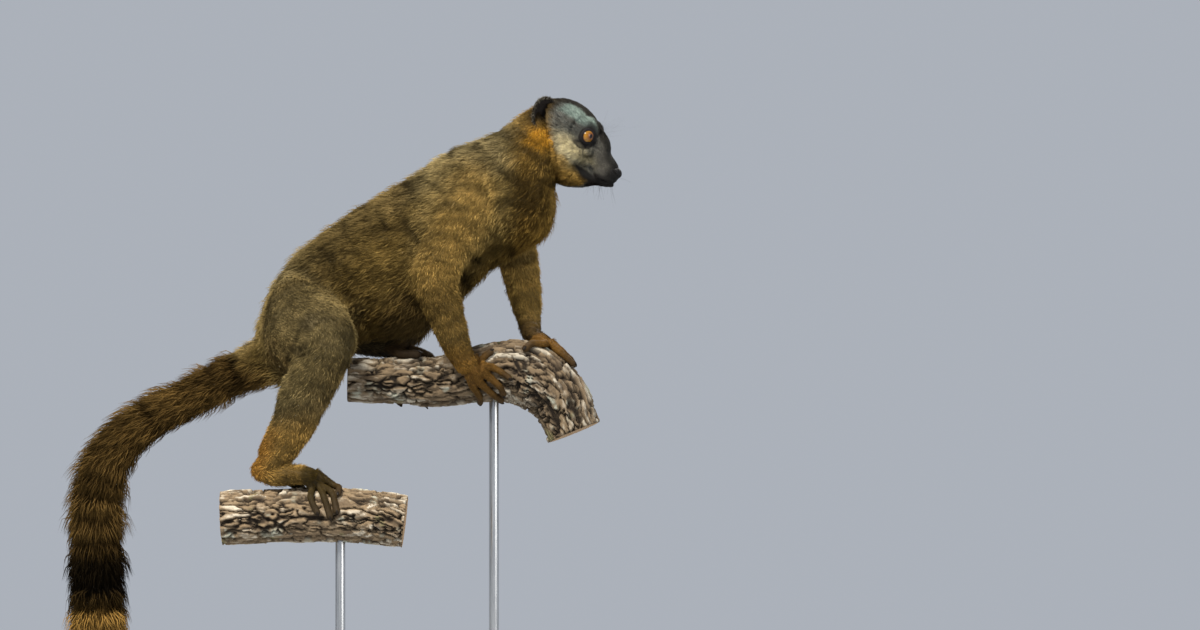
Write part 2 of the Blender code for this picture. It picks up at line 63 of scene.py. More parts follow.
# Routes that the coat follows, in the direction of its hair: x, y, z, radius out to the coat, coat depth.
ROUTES = {
    "trunk": [
        (172, 0, 712, 38, 5), (150, 0, 682, 46, 7.5), (126, 0, 652, 55, 10), (85, 0, 632, 61, 10),
        (15, 0, 583, 65, 10), (-46, 0, 555, 58, 10), (-95, 0, 514, 52, 10), (-128, 0, 491, 34, 9),
    ],
    "tail": [
        (-112, 0, 488, 28, 9), (-135, 1, 475, 26, 9), (-166, 3, 461, 23, 9), (-202, 6, 441, 24, 10),
        (-243, 9, 419, 26, 11), (-278, 10, 387, 28, 12), (-293, 10, 345, 29, 12),
        (-294, 8, 298, 31, 13), (-293, 5, 250, 32, 13), (-291, 2, 200, 32, 13), (-288, 0, 140, 30, 13),
        (-283, -1, 90, 24, 12), (-279, -2, 58, 12, 7), (-277, -2, 44, 5, 3),
    ],
    "arm_right": [
        (89, -19, 654, 28, 9), (82, -34, 636, 32, 9), (64, -44, 608, 30, 9), (49, -55, 576, 27, 8),
        (47, -61, 552, 25, 8), (57, -59, 524, 21, 6.5), (66, -53, 497, 16.5, 4.5),
        (76, -46, 476, 13, 3),
    ],
    "arm_left": [
        (98, 16, 662, 26, 9), (104, 30, 642, 31, 9), (114, 42, 616, 28, 9), (127, 53, 584, 24, 8),
        (132, 52, 560, 21, 7), (136, 43, 538, 18, 5.5), (139, 32, 519, 14, 4),
        (141, 22, 506, 11.5, 2.5),
    ],
    "leg_right": [
        (-94, -20, 517, 50, 10), (-81, -60, 508, 50, 10), (-64, -88, 500, 41, 9),
        (-56, -105, 493, 29, 8), (-72, -103, 464, 28, 8), (-86, -101, 440, 28, 8),
        (-94, -98, 417, 25, 7), (-108, -95, 395, 20, 5), (-115, -92, 381, 18, 4),
    ],
    "leg_left": [
        (-95, 20, 518, 48, 10), (-55, 57, 549, 42, 10), (-10, 82, 566, 35, 9), (30, 94, 546, 27, 8),
        (22, 82, 523, 26, 8), (6, 64, 508, 24, 7), (-12, 46, 501, 20, 5), (-28, 32, 500, 16, 3.5),
    ],
}
BODY_NODES = [
    *("trunk", "neck", "head", "tail_root", "tail_middle", "tail_end"),
    *(part + side for side in ("_left", "_right") for part in ("upper_arm", "forearm", "thigh", "shank")),
]
FLESH_NODES = BODY_NODES + [p + s for s in ("_left", "_right") for p in ("ear", "hand", "foot")]

# Branches: x, y, z, radius.
PERCH_UPPER = [
    (-42, -5, 460, 21.5), (10, -5, 459, 24), (50, -5, 459, 25.5), (86, -5, 465, 28.5),
    (120, -5, 469, 32), (148, -6, 461, 33), (170, -8, 440, 30.5), (184, -10, 408, 28),
]
PERCH_LOWER = [
    (-166, -86, 323, 27), (-120, -88, 325, 27), (-70, -89, 327, 27.5), (-20, -90, 324, 27),
    (16, -91, 320, 26),
]

# Hands and feet. First the palm or sole, from wrist or heel: x, y, z, half width, half height. Then
# each digit, the thumb or great toe last: its root, the points of the branch that it goes over as x and
# degrees from the top towards its right, and its radius.
EXTREMITIES = {
    "foot_right": (
        [
            (-127, -91, 371.5, 11, 11), (-114, -91, 367, 13, 12.5), (-98, -94, 366.5, 14, 11),
            (-87, -99, 366.5, 14.5, 9.5), (-78, -102, 365.5, 13, 8.5),
        ],
        [
            ((-86, -105, 365), [(-79, 28), (-74.3, 58), (-69, 86)], 3.4),
            ((-81, -101, 366), [(-72, 20), (-66, 56), (-58, 93)], 3.5),
            ((-77, -97, 367), [(-67, 12), (-60, 42), (-51.5, 82)], 3.5),
            ((-73, -93, 368), [(-59, 8), (-52.5, 24), (-49, 45)], 3.4),
            ((-104, -84, 365), [(-92, -28), (-84, -62), (-82, -90)], 5),
        ],
    ),
    "foot_left": (
        [
            (-38, 22, 498, 10.5, 10.5), (-25, 19, 495, 12, 11), (-6, 13, 492, 13, 9.5),
            (10, 9, 491, 14, 8.5),
        ],
        [
            ((6, 17, 489), [(6, -42), (4, -78), (6, -114), (10, -142)], 3.8),
            ((12, 16, 489), [(20, -40), (26, -78), (32, -114), (36, -142)], 4.1),
            ((17, 12, 490), [(30, -34), (41, -70), (50, -106), (55, -136)], 4.1),
            ((19, 6, 490), [(34, -20), (47, -50), (56, -82), (61, -110)], 3.9),
            ((-4, 7, 491), [(8, 8), (17, 14), (25, 17)], 4.6),
        ],
    ),
    "hand_right": (
        [(72, -47, 486, 10, 10.5), (79, -46, 477, 11, 9), (85, -44, 469, 12, 7.5)],
        [
            ((79, -47, 467), [(81, 110), (84, 134), (87, 152)], 3.4),
            ((85, -46, 466), [(92, 108), (100, 131), (106, 150)], 3.5),
            ((90, -44, 469), [(101, 98), (109, 116), (114, 132)], 3.5),
            ((92, -41, 474), [(104, 82), (113, 92), (119, 101)], 3.3),
            ((83, -41, 481), [(90, 66), (97, 57), (103, 53)], 3.7),
        ],
    ),
    "hand_left": (
        [(140, 22, 510, 10, 9), (146, 14, 504, 12, 8), (154, 9, 499, 13, 7)],
        [
            ((152, 18, 499), [(148, -40), (152, -58), (154, -74)], 3.5),
            ((157, 13, 498), [(150, -26), (156, -38), (159, -51)], 3.7),
            ((160, 7, 497), [(151, -8), (157, -14), (161, -22)], 3.7),
            ((158, 1, 496), [(150, 12), (156, 14), (160, 12)], 3.5),
            ((146, 4, 500), [(140, 14), (134, 30), (130, 46)], 3.9),
        ],
    ),
}
GRIPPED = {name: PERCH_LOWER if name == "foot_right" else PERCH_UPPER for name in EXTREMITIES}

# Head: its frame, and the forms of its skin. An ellipsoid is its centre, then its three half axes.
HEAD_AT = (204, 0, 700.5)
HEAD_PITCH = math.radians(35)
HEAD_YAW = math.radians(12)
EYE_AT = np.array([-5, 17.2, -1.8])
EYE_RADIUS = 7.6
LIDS_FACE = (math.radians(58), math.radians(7))  # outwards and up
PUPIL_FACES = (math.radians(42), math.radians(18))
EYE_OPEN = (math.radians(45), math.radians(52))  # half angles of the opening, across and up
CRANIUM = (-28, 0, -2.5, 33, 25, 22.8)
THROAT = (-8, 0, -24, 24, 14, 15)
NAPE = (-44, 0, -20, 20, 20, 24)
BROW = (-9, 10.5, 5, 13, 9.5, 11)
CHEEK = (-17, 15, -24, 21, 12.5, 19)
CHEEKBONE = (1, 12.5, -11, 9, 6.5, 7)
ORBIT = (-4.2, 15.6, -2.2, 9.6, 9.4, 10.2)
LIP = (30, 7.0, -24, 11, 4.4, 7)
MUZZLE = [
    (-8, 0, -8, 18.5, 22), (4, 0, -8, 14, 19), (10, 0, -9.8, 12.8, 16.4), (15.5, 0, -12.6, 11.6, 13.2),
    (21, 0, -14.9, 10.5, 12.4), (31, 0, -17.8, 9.2, 11.4), (36.5, 0, -19.2, 7.8, 9.4),
    (40.5, 0, -20.2, 6.2, 7.2),
]
JAW = [
    (-22, 0, -35, 20, 15.5), (-2, 0, -37, 17, 14), (14, 0, -35, 12, 9.6), (26, 0, -32, 7.4, 4.6),
    (36, 0, -29.2, 5.2, 3.4), (41, 0, -27.4, 3.6, 2.4),
]
MOUTH = [(43, 2, -24.2), (41, 6.5, -25.6), (34, 9.4, -29), (25, 11.4, -32), (14, 13.8, -31.9), (6, 16, -30.4)]
EAR_AT = (-48, 25, -7)
EAR_SIZE = (9, 15.0, 17.0)
NOSE_AT = (37.4, 0, -15.2)

# ---------------- numbers


def unit(rows):
    """Each row at length one."""
    return rows / np.maximum(np.linalg.norm(rows, axis=-1, keepdims=True), 1e-9)


def between(low, high, value):
    """A smooth step from 0 at low to 1 at high."""
    t = np.clip((value - low) / (high - low), 0, 1)
    return t * t * (3 - 2 * t)


def hump(away, width):
    """1 where the distance away is nothing, and little beyond the width."""
    return np.exp(-((away / width) ** 2))


def cell_values(cells, seed):
    """A repeatable number from 0 to 1 for each row of whole numbers."""
    mixed = cells[:, 0] * 374761393 + cells[:, 1] * 668265263 + cells[:, 2] * 1274126177 + seed * 144269
    mixed = mixed & 0xFFFFFFFF
    mixed = ((mixed ^ (mixed >> 13)) * 1103515245) & 0xFFFFFFFF
    return ((mixed ^ (mixed >> 16)) & 0xFFFF) / 65535


def noise(points, size, seed):
    """Smooth noise from -1 to 1 with lumps of the given size."""
    scaled = points / size + 1000.5
    cell = np.floor(scaled).astype(np.int64)
    f = scaled - cell
    f = f * f * (3 - 2 * f)
    total = np.zeros(len(points))
    for corner in range(8):
        step = np.array([corner & 1, corner >> 1 & 1, corner >> 2])
        total += np.prod(np.where(step, f, 1 - f), axis=1) * cell_values(cell + step, seed)
    return total * 2 - 1


def rough_noise(points, size, octaves, seed):
    """Noise with finer noise added."""
    total = np.zeros(len(points))
    for octave in range(octaves):
        total += noise(points, size / 2**octave, seed + octave) / 2**octave
    return total / (2 - 2.0 ** (1 - octaves))


def noise_rows(points, size, seed):
    """Three separate noises for each point."""
    return np.stack([noise(points, size, seed + k) for k in range(3)], 1)


def smooth(stations, per_span):
    """Catmull-Rom rows through the stations, every number of a station interpolated alike."""
    rows = np.array(stations, float)
    padded = np.vstack([2 * rows[0] - rows[1], rows, 2 * rows[-1] - rows[-2]])
    made = []
    for i in range(len(rows) - 1):
        a, b, c, d = padded[i : i + 4]
        for t in np.arange(per_span) / per_span:
            spline = 2 * b + (c - a) * t + (2 * a - 5 * b + 4 * c - d) * t**2
            made.append(0.5 * (spline + (3 * b - a - 3 * c + d) * t**3))
    return np.array(made + [rows[-1]])


class Route:
    """A line through stations, for finding what is near it."""

    def __init__(self, stations, per_span):
        self.rows = smooth(stations, per_span)
        self.ahead = unit(np.gradient(self.rows[:, :3], axis=0))
        steps = np.linalg.norm(np.diff(self.rows[:, :3], axis=0), axis=1)
        self.along = np.concatenate([[0], np.cumsum(steps)])

    def near(self, points):
        """For each point: distance, place along the route, and the rows and directions there."""
        best = np.full(len(points), np.inf)
        place = np.zeros(len(points))
        for i, start in enumerate(self.rows[:-1, :3]):
            span = self.rows[i + 1, :3] - start
            t = np.clip((points - start) @ span / (span @ span), 0, 1)
            distance = np.linalg.norm(points - (start + t[:, None] * span), axis=1)
            place = np.where(distance < best, i + t, place)
            best = np.minimum(best, distance)
        low = np.minimum(place.astype(int), len(self.rows) - 2)
        t = (place - low)[:, None]
        rows = self.rows[low] * (1 - t) + self.rows[low + 1] * t
        ahead = unit(self.ahead[low] * (1 - t) + self.ahead[low + 1] * t)
        along = self.along[low] + t[:, 0] * (self.along[low + 1] - self.along[low])
        return best, along, rows, ahead


LIMB_OF = {name: name.replace("foot", "leg").replace("hand", "arm") for name in EXTREMITIES}
LIMB_ENDS = {part: ROUTES[limb][-1] for part, limb in LIMB_OF.items()}
PAW_COAT = 3.4
for part, limb in LIMB_OF.items():
    palm = EXTREMITIES[part][0][0 if part.startswith("foot") else 2 :]
    ROUTES[limb] += [(x, y, z, wide + 2, PAW_COAT) for x, y, z, wide, _ in palm]
ROUTES = {name: Route(rows, 3) for name, rows in ROUTES.items()}


def body_field(points):
    """The lie of the hair, the depth of the coat and the weight of each route at points of the body."""
    weights, lies, depths = [], [], []
    for route in ROUTES.values():
        distance, _, rows, ahead = route.near(points)
        weights.append(np.exp(-3.2 * (distance / rows[:, 3]) ** 2))
        lies.append(ahead)
        depths.append(rows[:, 4])
    weights = np.array(weights)
    weights /= weights.sum(0) + 1e-12
    lie = unit((weights[:, :, None] * np.array(lies)).sum(0))
    return lie, (weights * np.array(depths)).sum(0), weights


# ---------------- frames of the head, eyes and ears

HEAD_FRAME = np.array(
    Matrix.Translation(HEAD_AT) @ Matrix.Rotation(HEAD_PITCH, 4, "Y") @ Matrix.Rotation(-HEAD_YAW, 4, "Z")
)


def out_of(frame_at, points):
    """Points of a frame as seen outside it."""
    return points @ frame_at[:3, :3].T + frame_at[:3, 3]


def into(frame_at, points):
    """Points as seen in a frame."""
    return (points - frame_at[:3, 3]) @ frame_at[:3, :3]


def from_head(points):
    """Points of the head's frame in the lemur's."""
    return out_of(HEAD_FRAME, points)


def to_head(points):
    """Points of the lemur's frame in the head's."""
    return into(HEAD_FRAME, points)


def head_share(points):
    """1 on the head, 0 on the neck, and a smooth change behind the cheeks."""
    local = to_head(points)
    return between(-8, 8, (local[:, 0] + 57) * 0.754 + (local[:, 2] - 10) * 0.657)


def ear_frame(side):
    """The ear's place in the head's frame: its cup opens along +x."""
    return np.array(
        Matrix.Translation((EAR_AT[0], side * EAR_AT[1], EAR_AT[2]))
        @ Matrix.Rotation(math.radians(48 * side), 4, "Z")
        @ Matrix.Rotation(math.radians(-24), 4, "Y")
    )


def gaze(side, facing):
    """The way that an eye's lids or its pupil face, in the head's frame."""
    out, up = facing
    return np.array([math.cos(out) * math.cos(up), side * math.sin(out) * math.cos(up), math.sin(up)])


def lid_axes(side):
    """An eye's centre, the way its lids face, and the ways forwards and up across their opening."""
    way = gaze(side, LIDS_FACE)
    across = unit(np.cross(UP, way)) * -side
    return EYE_AT * (1, side, 1), way, across, np.cross(way, across) * -side


def lid_angle(angle):
    """The half angle of the opening, 0 being forwards and a quarter turn up, with its inner corner."""
    wide, high = EYE_OPEN
    opening = 1 / np.sqrt((np.cos(angle) / wide) ** 2 + (np.sin(angle) / high) ** 2)
    return opening * (1 + 0.2 * hump(angle + 0.45, 0.33))


def eye_turn(side, local):
    """Offset and distance of points from an eyeball's centre, and their turn from its gaze, 1 at the lids."""
    eye, way, across, over = lid_axes(side)
    offset = local - eye
    heading = unit(offset)
    turned = np.arccos(np.clip(heading @ way, -1, 1))
    angle = np.arctan2(heading @ over, heading @ across)
    return offset, np.linalg.norm(offset, axis=1), turned / lid_angle(angle)


def around_eyes(local):
    """How far points of the head are from the lids' opening, 1 at its rim, and large away from the eyes."""
    turned = np.full(len(local), 9.0)
    for side in (1, -1):
        _, distance, turn = eye_turn(side, local)
        turned = np.minimum(turned, np.where(distance < 14, turn, 9))
    return turned


def from_mouth(local):
    """The distance of points of the head from the line of the mouth, and its height beside each."""
    mirrored = np.stack([local[:, 0], np.abs(local[:, 1]), local[:, 2]], 1)
    distance, _, rows, _ = Route([(*row, 0) for row in MOUTH], 6).near(mirrored)
    return distance, rows[:, 2]


# ---------------- meshes


def add_ring(bm, centre, wide, high, sides):
    """One elliptical ring of vertices, from the vectors of its half axes."""
    turns = [TURN * i / sides for i in range(sides)]
    return [bm.verts.new(centre + wide * math.cos(turn) + high * math.sin(turn)) for turn in turns]


def add_bands(bm, rings):
    """Faces from each ring of vertices to the next."""
    for low, high in zip(rings, rings[1:]):
        for i in range(len(low)):
            j = (i + 1) % len(low)
            bm.faces.new((low[i], low[j], high[j], high[i]))


def add_loft(bm, rows, reference=LEFT, sides=24, ends=(6, 6)):
    """A closed loft through rows of centre and two half sizes, with round ends."""
    ahead = unit(np.gradient(rows[:, :3], axis=0))
    sections = [(r[:3], a, r[3], r[-1]) for r, a in zip(rows, ahead)]
    for index, length, sign in ((0, ends[0], -1), (-1, ends[1], 1)):
        centre, way, across, through = sections[index]
        for angle in np.radians((25, 45, 65, 82)):
            size = math.cos(angle)
            ring = (centre + way * sign * length * math.sin(angle), way, across * size, through * size)
            sections.insert(0 if index == 0 else len(sections), ring)
    rings = []
    for centre, way, across, through in sections:
        side = unit(reference - (reference @ way) * way)
        rings.append(add_ring(bm, centre, side * across, np.cross(way, side) * through, sides))
    add_bands(bm, rings)
    bm.faces.new(reversed(rings[0]))
    bm.faces.new(rings[-1])


def add_ellipsoid(bm, form, segments=32):
    """An ellipsoid from its centre and half axes."""
    place = Matrix.Translation(form[:3]) @ Matrix.Diagonal((*form[3:], 1))
    bmesh.ops.create_uvsphere(bm, u_segments=segments, v_segments=segments // 2, radius=1, matrix=place)


def both_sides(form):
    """A paired form of the head, for each side."""
    return [(form[0], side * form[1], *form[2:]) for side in (1, -1)]


def add_object(name, data):
    """An object of a mesh, lamp or camera, in the scene."""
    thing = bpy.data.objects.new(name, data)
    bpy.context.scene.collection.objects.link(thing)
    return thing


def as_object(bm, name):
    """The mesh as an object, still in millimetres."""
    bmesh.ops.recalc_face_normals(bm, faces=bm.faces)
    mesh = bpy.data.meshes.new(name)
    bm.to_mesh(mesh)
    bm.free()
    return add_object(name, mesh)


def settle(thing):
    """Applies an object's modifiers to its mesh."""
    bpy.context.view_layer.update()
    mesh = bpy.data.meshes.new_from_object(thing.evaluated_get(bpy.context.evaluated_depsgraph_get()))
    thing.modifiers.clear()
    thing.data = mesh
    return thing


def modify(thing, kind, **settings):
    """Adds a modifier with its settings."""
    modifier = thing.modifiers.new(kind.lower(), kind)
    for key, value in settings.items():
        setattr(modifier, key, value)


def melt(thing, voxel, rounds):
    """Makes one closed surface of overlapping forms, and smooths it."""
    modify(thing, "REMESH", mode="VOXEL", voxel_size=voxel)
    modify(thing, "SMOOTH", factor=0.5, iterations=rounds)
    return settle(thing)


def rows_of(data, kind, count):
    """Three numbers for each vertex of a mesh."""
    flat = np.empty(count * 3, np.float32)
    data.foreach_get(kind, flat)
    return flat.reshape(-1, 3).astype(float)


def vertices(thing):
    """The vertices of an object's mesh as rows."""
    return rows_of(thing.data.vertices, "co", len(thing.data.vertices))


def vertex_normals(thing):
    """The normal at each vertex."""
    return rows_of(thing.data.vertex_normals, "vector", len(thing.data.vertices))


def set_vertices(thing, points):
    """Moves the vertices of an object's mesh."""
    thing.data.vertices.foreach_set("co", points.astype(np.float32).ravel())
    thing.data.update()


def paint(thing, colours):
    """Gives each vertex its colour."""
    layer = thing.data.color_attributes.new("coat", "FLOAT_COLOR", "POINT")
    rgba = np.ones((len(colours), 4), np.float32)
    rgba[:, :3] = np.clip(colours, 0, 1)
    layer.data.foreach_set("color", rgba.ravel())


def finish(thing, material, slot, *nodes, smooth_shading=True):
    """Gives a piece its material and its body, and hides the parts of the nodes that it replaces; the slot is
    not used.
    """
    thing.data.materials.clear()
    thing.data.materials.append(material)
    if smooth_shading:
        thing.data.shade_smooth()
    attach(thing, "root")
    if nodes:
        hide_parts(*nodes)


def in_place(thing, *looks, **shading):
    """Finishes a piece made in the lemur's frame: metres, the CAD's frame and its looks."""
    set_vertices(thing, (vertices(thing) + MIDLINE) * MM)
    finish(thing, *looks, **shading)


def in_head(thing, *looks):
    """Finishes a piece made in the head's frame."""
    set_vertices(thing, from_head(vertices(thing)))
    in_place(thing, *looks)


# ---------------- skin


def body_skin():
    """Trunk, neck, tail and limbs as one surface, inside the solids by the depth of the coat."""
    coat_share = 0.78  # of the coat's depth
    under_head = 13  # deep enough to lie inside the head's own forms
    bm = bmesh.new()
    for node in BODY_NODES:
        bm.from_mesh(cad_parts[node].data)
    bmesh.ops.remove_doubles(bm, verts=bm.verts, dist=1e-5)
    bmesh.ops.scale(bm, vec=(1 / MM,) * 3, verts=bm.verts)
    bmesh.ops.translate(bm, vec=-Vector(MIDLINE), verts=bm.verts)
    thing = as_object(bm, "skin")
    modify(thing, "DISPLACE", strength=0.8, mid_level=0)  # so that neighbours overlap and melt together
    melt(thing, 2.6, 14)
    for _ in range(2):
        points = vertices(thing)
        _, depth, _ = body_field(points)
        head = head_share(points)
        depth = coat_share * depth * (1 - head) + under_head * head
        set_vertices(thing, points - vertex_normals(thing) * (depth / 2)[:, None])
        melt(thing, 2.4, 4)
    return thing


def shape_round_eyes(local):
    """Lays the skin over each eyeball as lids, with a crease round them."""
    lid, inner, socket = EYE_RADIUS + 0.75, EYE_RADIUS - 1.8, 17
    for side in (1, -1):
        offset, distance, turned = eye_turn(side, local)
        wanted = inner + (lid - inner) * between(0.95, 1.07, turned)
        wanted += 0.25 * hump(turned - 1.22, 0.15) - 0.5 * hump(turned - 1.55, 0.1)
        near = (1 - between(1.35, 2.0, turned)) * (distance < socket)
        reach = distance * (1 - near) + wanted * near
        hides = (turned > 1.07) * (distance < socket)
        reach = np.where(hides, np.maximum(reach, lid - 0.1), reach)
        local = EYE_AT * (1, side, 1) + offset * (reach / np.maximum(distance, 1e-6))[:, None]
    return local


def shape_mouth(local, normals):
    """Presses the line of the mouth in, with a soft lip over it."""
    distance, height = from_mouth(local)
    lip = 0.55 * hump(distance - 2.2, 1.1) * (local[:, 2] > height)
    return local + normals * (lip - 2.6 * hump(distance, 1.05))[:, None]


def head_skin():
    """Skull, brows, cheeks, muzzle and jaw in one fine surface, with lids and mouth."""
    bm = bmesh.new()
    for form in (CRANIUM, THROAT, NAPE):
        add_ellipsoid(bm, form)
    for paired in (BROW, CHEEK, CHEEKBONE, ORBIT, LIP):
        for form in both_sides(paired):
            add_ellipsoid(bm, form)
    add_loft(bm, smooth(MUZZLE, 4), sides=32, ends=(10, 2.5))
    add_loft(bm, smooth(JAW, 4), sides=32, ends=(12, 3))
    thing = melt(as_object(bm, "head_skin"), 0.9, 12)
    local = shape_mouth(vertices(thing), vertex_normals(thing))
    set_vertices(thing, from_head(shape_round_eyes(local)))
    return thing


def over_branch(stations, x, turn, lift):
    """A point on a branch's bark at x, turned from its top towards its right, lifted off it."""
    rows = smooth(stations, 8)
    i = int(np.argmin(np.abs(rows[:, 0] - x)))
    ahead = unit(np.gradient(rows[:, :3], axis=0))[i]
    over = unit(UP - (UP @ ahead) * ahead)
    out = over * math.cos(math.radians(turn)) + np.cross(ahead, over) * math.sin(math.radians(turn))
    return rows[i, :3] + out * (rows[i, 3] + lift)


def digit_rows(stations, root, path, radius):
    """A digit's smooth rows: centre and radius, with knuckles and a broad pad."""
    points = [np.array(root, float)]
    points += [over_branch(stations, x, turn, radius * 0.8) for x, turn in path]
    sizes = np.interp(np.linspace(0, 1, len(points)), (0, 0.35, 0.8, 1), (1.4, 1.0, 0.85, 1.0))
    rows = smooth([(*p, radius * s) for p, s in zip(points, sizes)], 8)
    along = np.linspace(0, 1, len(rows))
    for knuckle in (0.33, 0.66):
        rows[:, 3] *= 1 + 0.1 * hump(along - knuckle, 0.06)
    return rows


DIGITS = {
    name: [digit_rows(GRIPPED[name], *digit) for digit in digits]
    for name, (_, digits) in EXTREMITIES.items()
}


def extremity_skin(name):
    """A hand or foot: palm or sole and digits in one fine surface, joined to the limb by balls."""
    rows = smooth(EXTREMITIES[name][0], 6)
    rows[:, 3:] -= 1.0
    bm = bmesh.new()
    add_loft(bm, rows, ends=(9, 6))
    for digit in DIGITS[name]:
        add_loft(bm, digit, reference=UP, sides=16, ends=(2, digit[-1, 3]))
    limb = np.array(LIMB_ENDS[name])
    for share in (0, 0.25, 0.5, 0.75, 1):
        joint = limb[:3] * (1 - share) + rows[1, :3] * share
        size = (limb[3] - limb[4]) * (1 - share) + (rows[1, 3] + 0.5) * share
        add_ellipsoid(bm, (*joint, size, size, size), 24)
    return melt(as_object(bm, name + "_skin"), 0.95, 3)


def unite(thing, *others):
    """Joins closed objects into one by Boolean unions."""
    for other in others:
        modify(thing, "BOOLEAN", operation="UNION", solver="MANIFOLD", object=other)
    settle(thing)
    for other in others:
        bpy.data.objects.remove(other)
    return thing


# ---------------- eyes, nose, ears, nails, whiskers


def layered(colours, *layers):
    """Colours with others laid over them in turn, each with its share for every row."""
    for shade, share in layers:
        colours = colours + (np.array(shade) - colours) * share[:, None]
    return colours


def coloured(count, base, *layers):
    """Rows of a base colour with others laid over it."""
    return layered(np.tile(base, (count, 1)), *layers)


def eyeballs():
    """Each eye: a ball with a cornea, its iris and pupil in colours of the mesh."""
    for name, side in (("eye_left", 1), ("eye_right", -1)):
        bm = bmesh.new()
        bmesh.ops.create_uvsphere(bm, u_segments=64, v_segments=64, radius=1)
        thing = as_object(bm, name)
        ball = vertices(thing)
        x, y, z = ball.T
        angle = np.degrees(np.arccos(np.clip(z, -1, 1)))
        pupil = np.where(z > 0, np.degrees(np.hypot(x * 1.45, y)), 90)
        around = np.arctan2(y, x)
        streaks = 0.5 + 0.5 * noise(np.stack([np.cos(around) * 9, np.sin(around) * 9, angle / 30], 1), 1, 4)
        colour = coloured(
            len(ball), (0.4, 0.15, 0.008),
            ((0.5, 0.24, 0.02), between(24, 44, angle) * (0.3 + 0.7 * streaks)),
            ((0.2, 0.05, 0.006), between(30, 17, angle) * 0.8),
            ((0.14, 0.045, 0.008), between(52, 61, angle)),
            ((0.02, 0.012, 0.01), between(61, 66, angle)),
            ((0.004, 0.003, 0.003), between(17.5, 15, pupil)),
        )
        cornea = 1 + 0.06 * between(52, 22, angle)
        turn = np.array(Vector(gaze(side, PUPIL_FACES)).to_track_quat("Z", "Y").to_matrix())
        rotated = (ball * cornea[:, None] * EYE_RADIUS) @ turn.T
        set_vertices(thing, rotated + EYE_AT * (1, side, 1))
        paint(thing, colour * (0.38 + 0.28 * streaks)[:, None])
        in_head(thing, EYE, "eye", name)


def lid_rims():
    """A moist dark rim along the edge of the lids."""
    bm = bmesh.new()
    angles = TURN * np.arange(96) / 96
    opening = lid_angle((angles + math.pi) % TURN - math.pi)
    for side in (1, -1):
        eye, way, across, over = lid_axes(side)
        heading = np.cos(angles)[:, None] * across + np.sin(angles)[:, None] * over
        way_out = np.cos(opening)[:, None] * way + np.sin(opening)[:, None] * heading
        centres = eye + way_out * (EYE_RADIUS + 0.3)
        ahead = unit(np.roll(centres, -1, 0) - np.roll(centres, 1, 0))
        rings = [
            add_ring(bm, centre, out * 0.4, np.cross(along, out) * 0.5, 10)
            for centre, along, out in zip(centres, ahead, way_out)
        ]
        add_bands(bm, rings + rings[:1])
    in_head(as_object(bm, "lid_rims"), BARE, "nose_skin")


def nose():
    """The bare nose, with comma-shaped nostrils and a groove down to the lip."""
    bm = bmesh.new()
    add_ellipsoid(bm, (*NOSE_AT, 7.0, 6.8, 5.9), 48)
    add_ellipsoid(bm, (NOSE_AT[0] + 2.6, 0, NOSE_AT[2] - 5.6, 3.4, 1.7, 4.0), 32)
    for form in both_sides((NOSE_AT[0] - 0.8, 4.9, NOSE_AT[2] - 0.6, 5.4, 3.5, 4.2)):
        add_ellipsoid(bm, form, 32)
    thing = melt(as_object(bm, "nose"), 0.3, 6)
    points = vertices(thing)
    local = points - NOSE_AT
    aside = np.abs(local[:, 1])
    path = Route([(6.2, 2.8, -1.5, 0), (5.0, 4.8, -1.4, 0), (2.8, 7.2, -1.2, 0), (-1.4, 8.3, 0.2, 0)], 5)
    distance, along, _, _ = path.near(np.stack([local[:, 0], aside, local[:, 2]], 1))
    nostril = -2.3 * hump(distance, 1.5 - 0.8 * along / path.along[-1])
    rim = 0.15 * hump(distance - 1.7, 0.55)
    groove = -0.5 * hump(aside, 0.4) * between(-0.5, -2.5, local[:, 2])
    pores = 0.07 * noise(points, 0.7, 2)
    set_vertices(thing, points + vertex_normals(thing) * (nostril + rim + groove + pores)[:, None])
    in_head(thing, BARE, "nose_skin")


def ear_cup(name, side):
    """A thin cupped ear, with a fold inside the rim. It is left as a helper to grow hair on."""
    depth, width, height = EAR_SIZE
    bm = bmesh.new()
    steps, sides = 16, 64
    rings = []
    for reach in np.arange(1, steps + 1) / steps:
        cup = -depth * math.sqrt(max(0, 1 - (reach * 0.93) ** 2)) + 1.2 * reach**4 + hump(reach - 0.8, 0.08)
        ring = []
        for k in range(sides):
            angle = TURN * k / sides
            wavy = reach * (1 + 0.025 * math.sin(3 * angle + 0.7))
            ring.append(bm.verts.new((cup, wavy * width * math.cos(angle), wavy * height * math.sin(angle))))
        rings.append(ring)
    centre = bm.verts.new((-depth, 0, 0))
    for k in range(sides):
        j = (k + 1) % sides
        bm.faces.new((centre, rings[0][k], rings[0][j]))
        for low, high in zip(rings, rings[1:]):
            bm.faces.new((low[k], high[k], high[j], low[j]))
    thing = as_object(bm, name)
    modify(thing, "SOLIDIFY", thickness=1.3, offset=0)
    settle(thing)
    set_vertices(thing, from_head(out_of(ear_frame(side), vertices(thing))))
    return thing


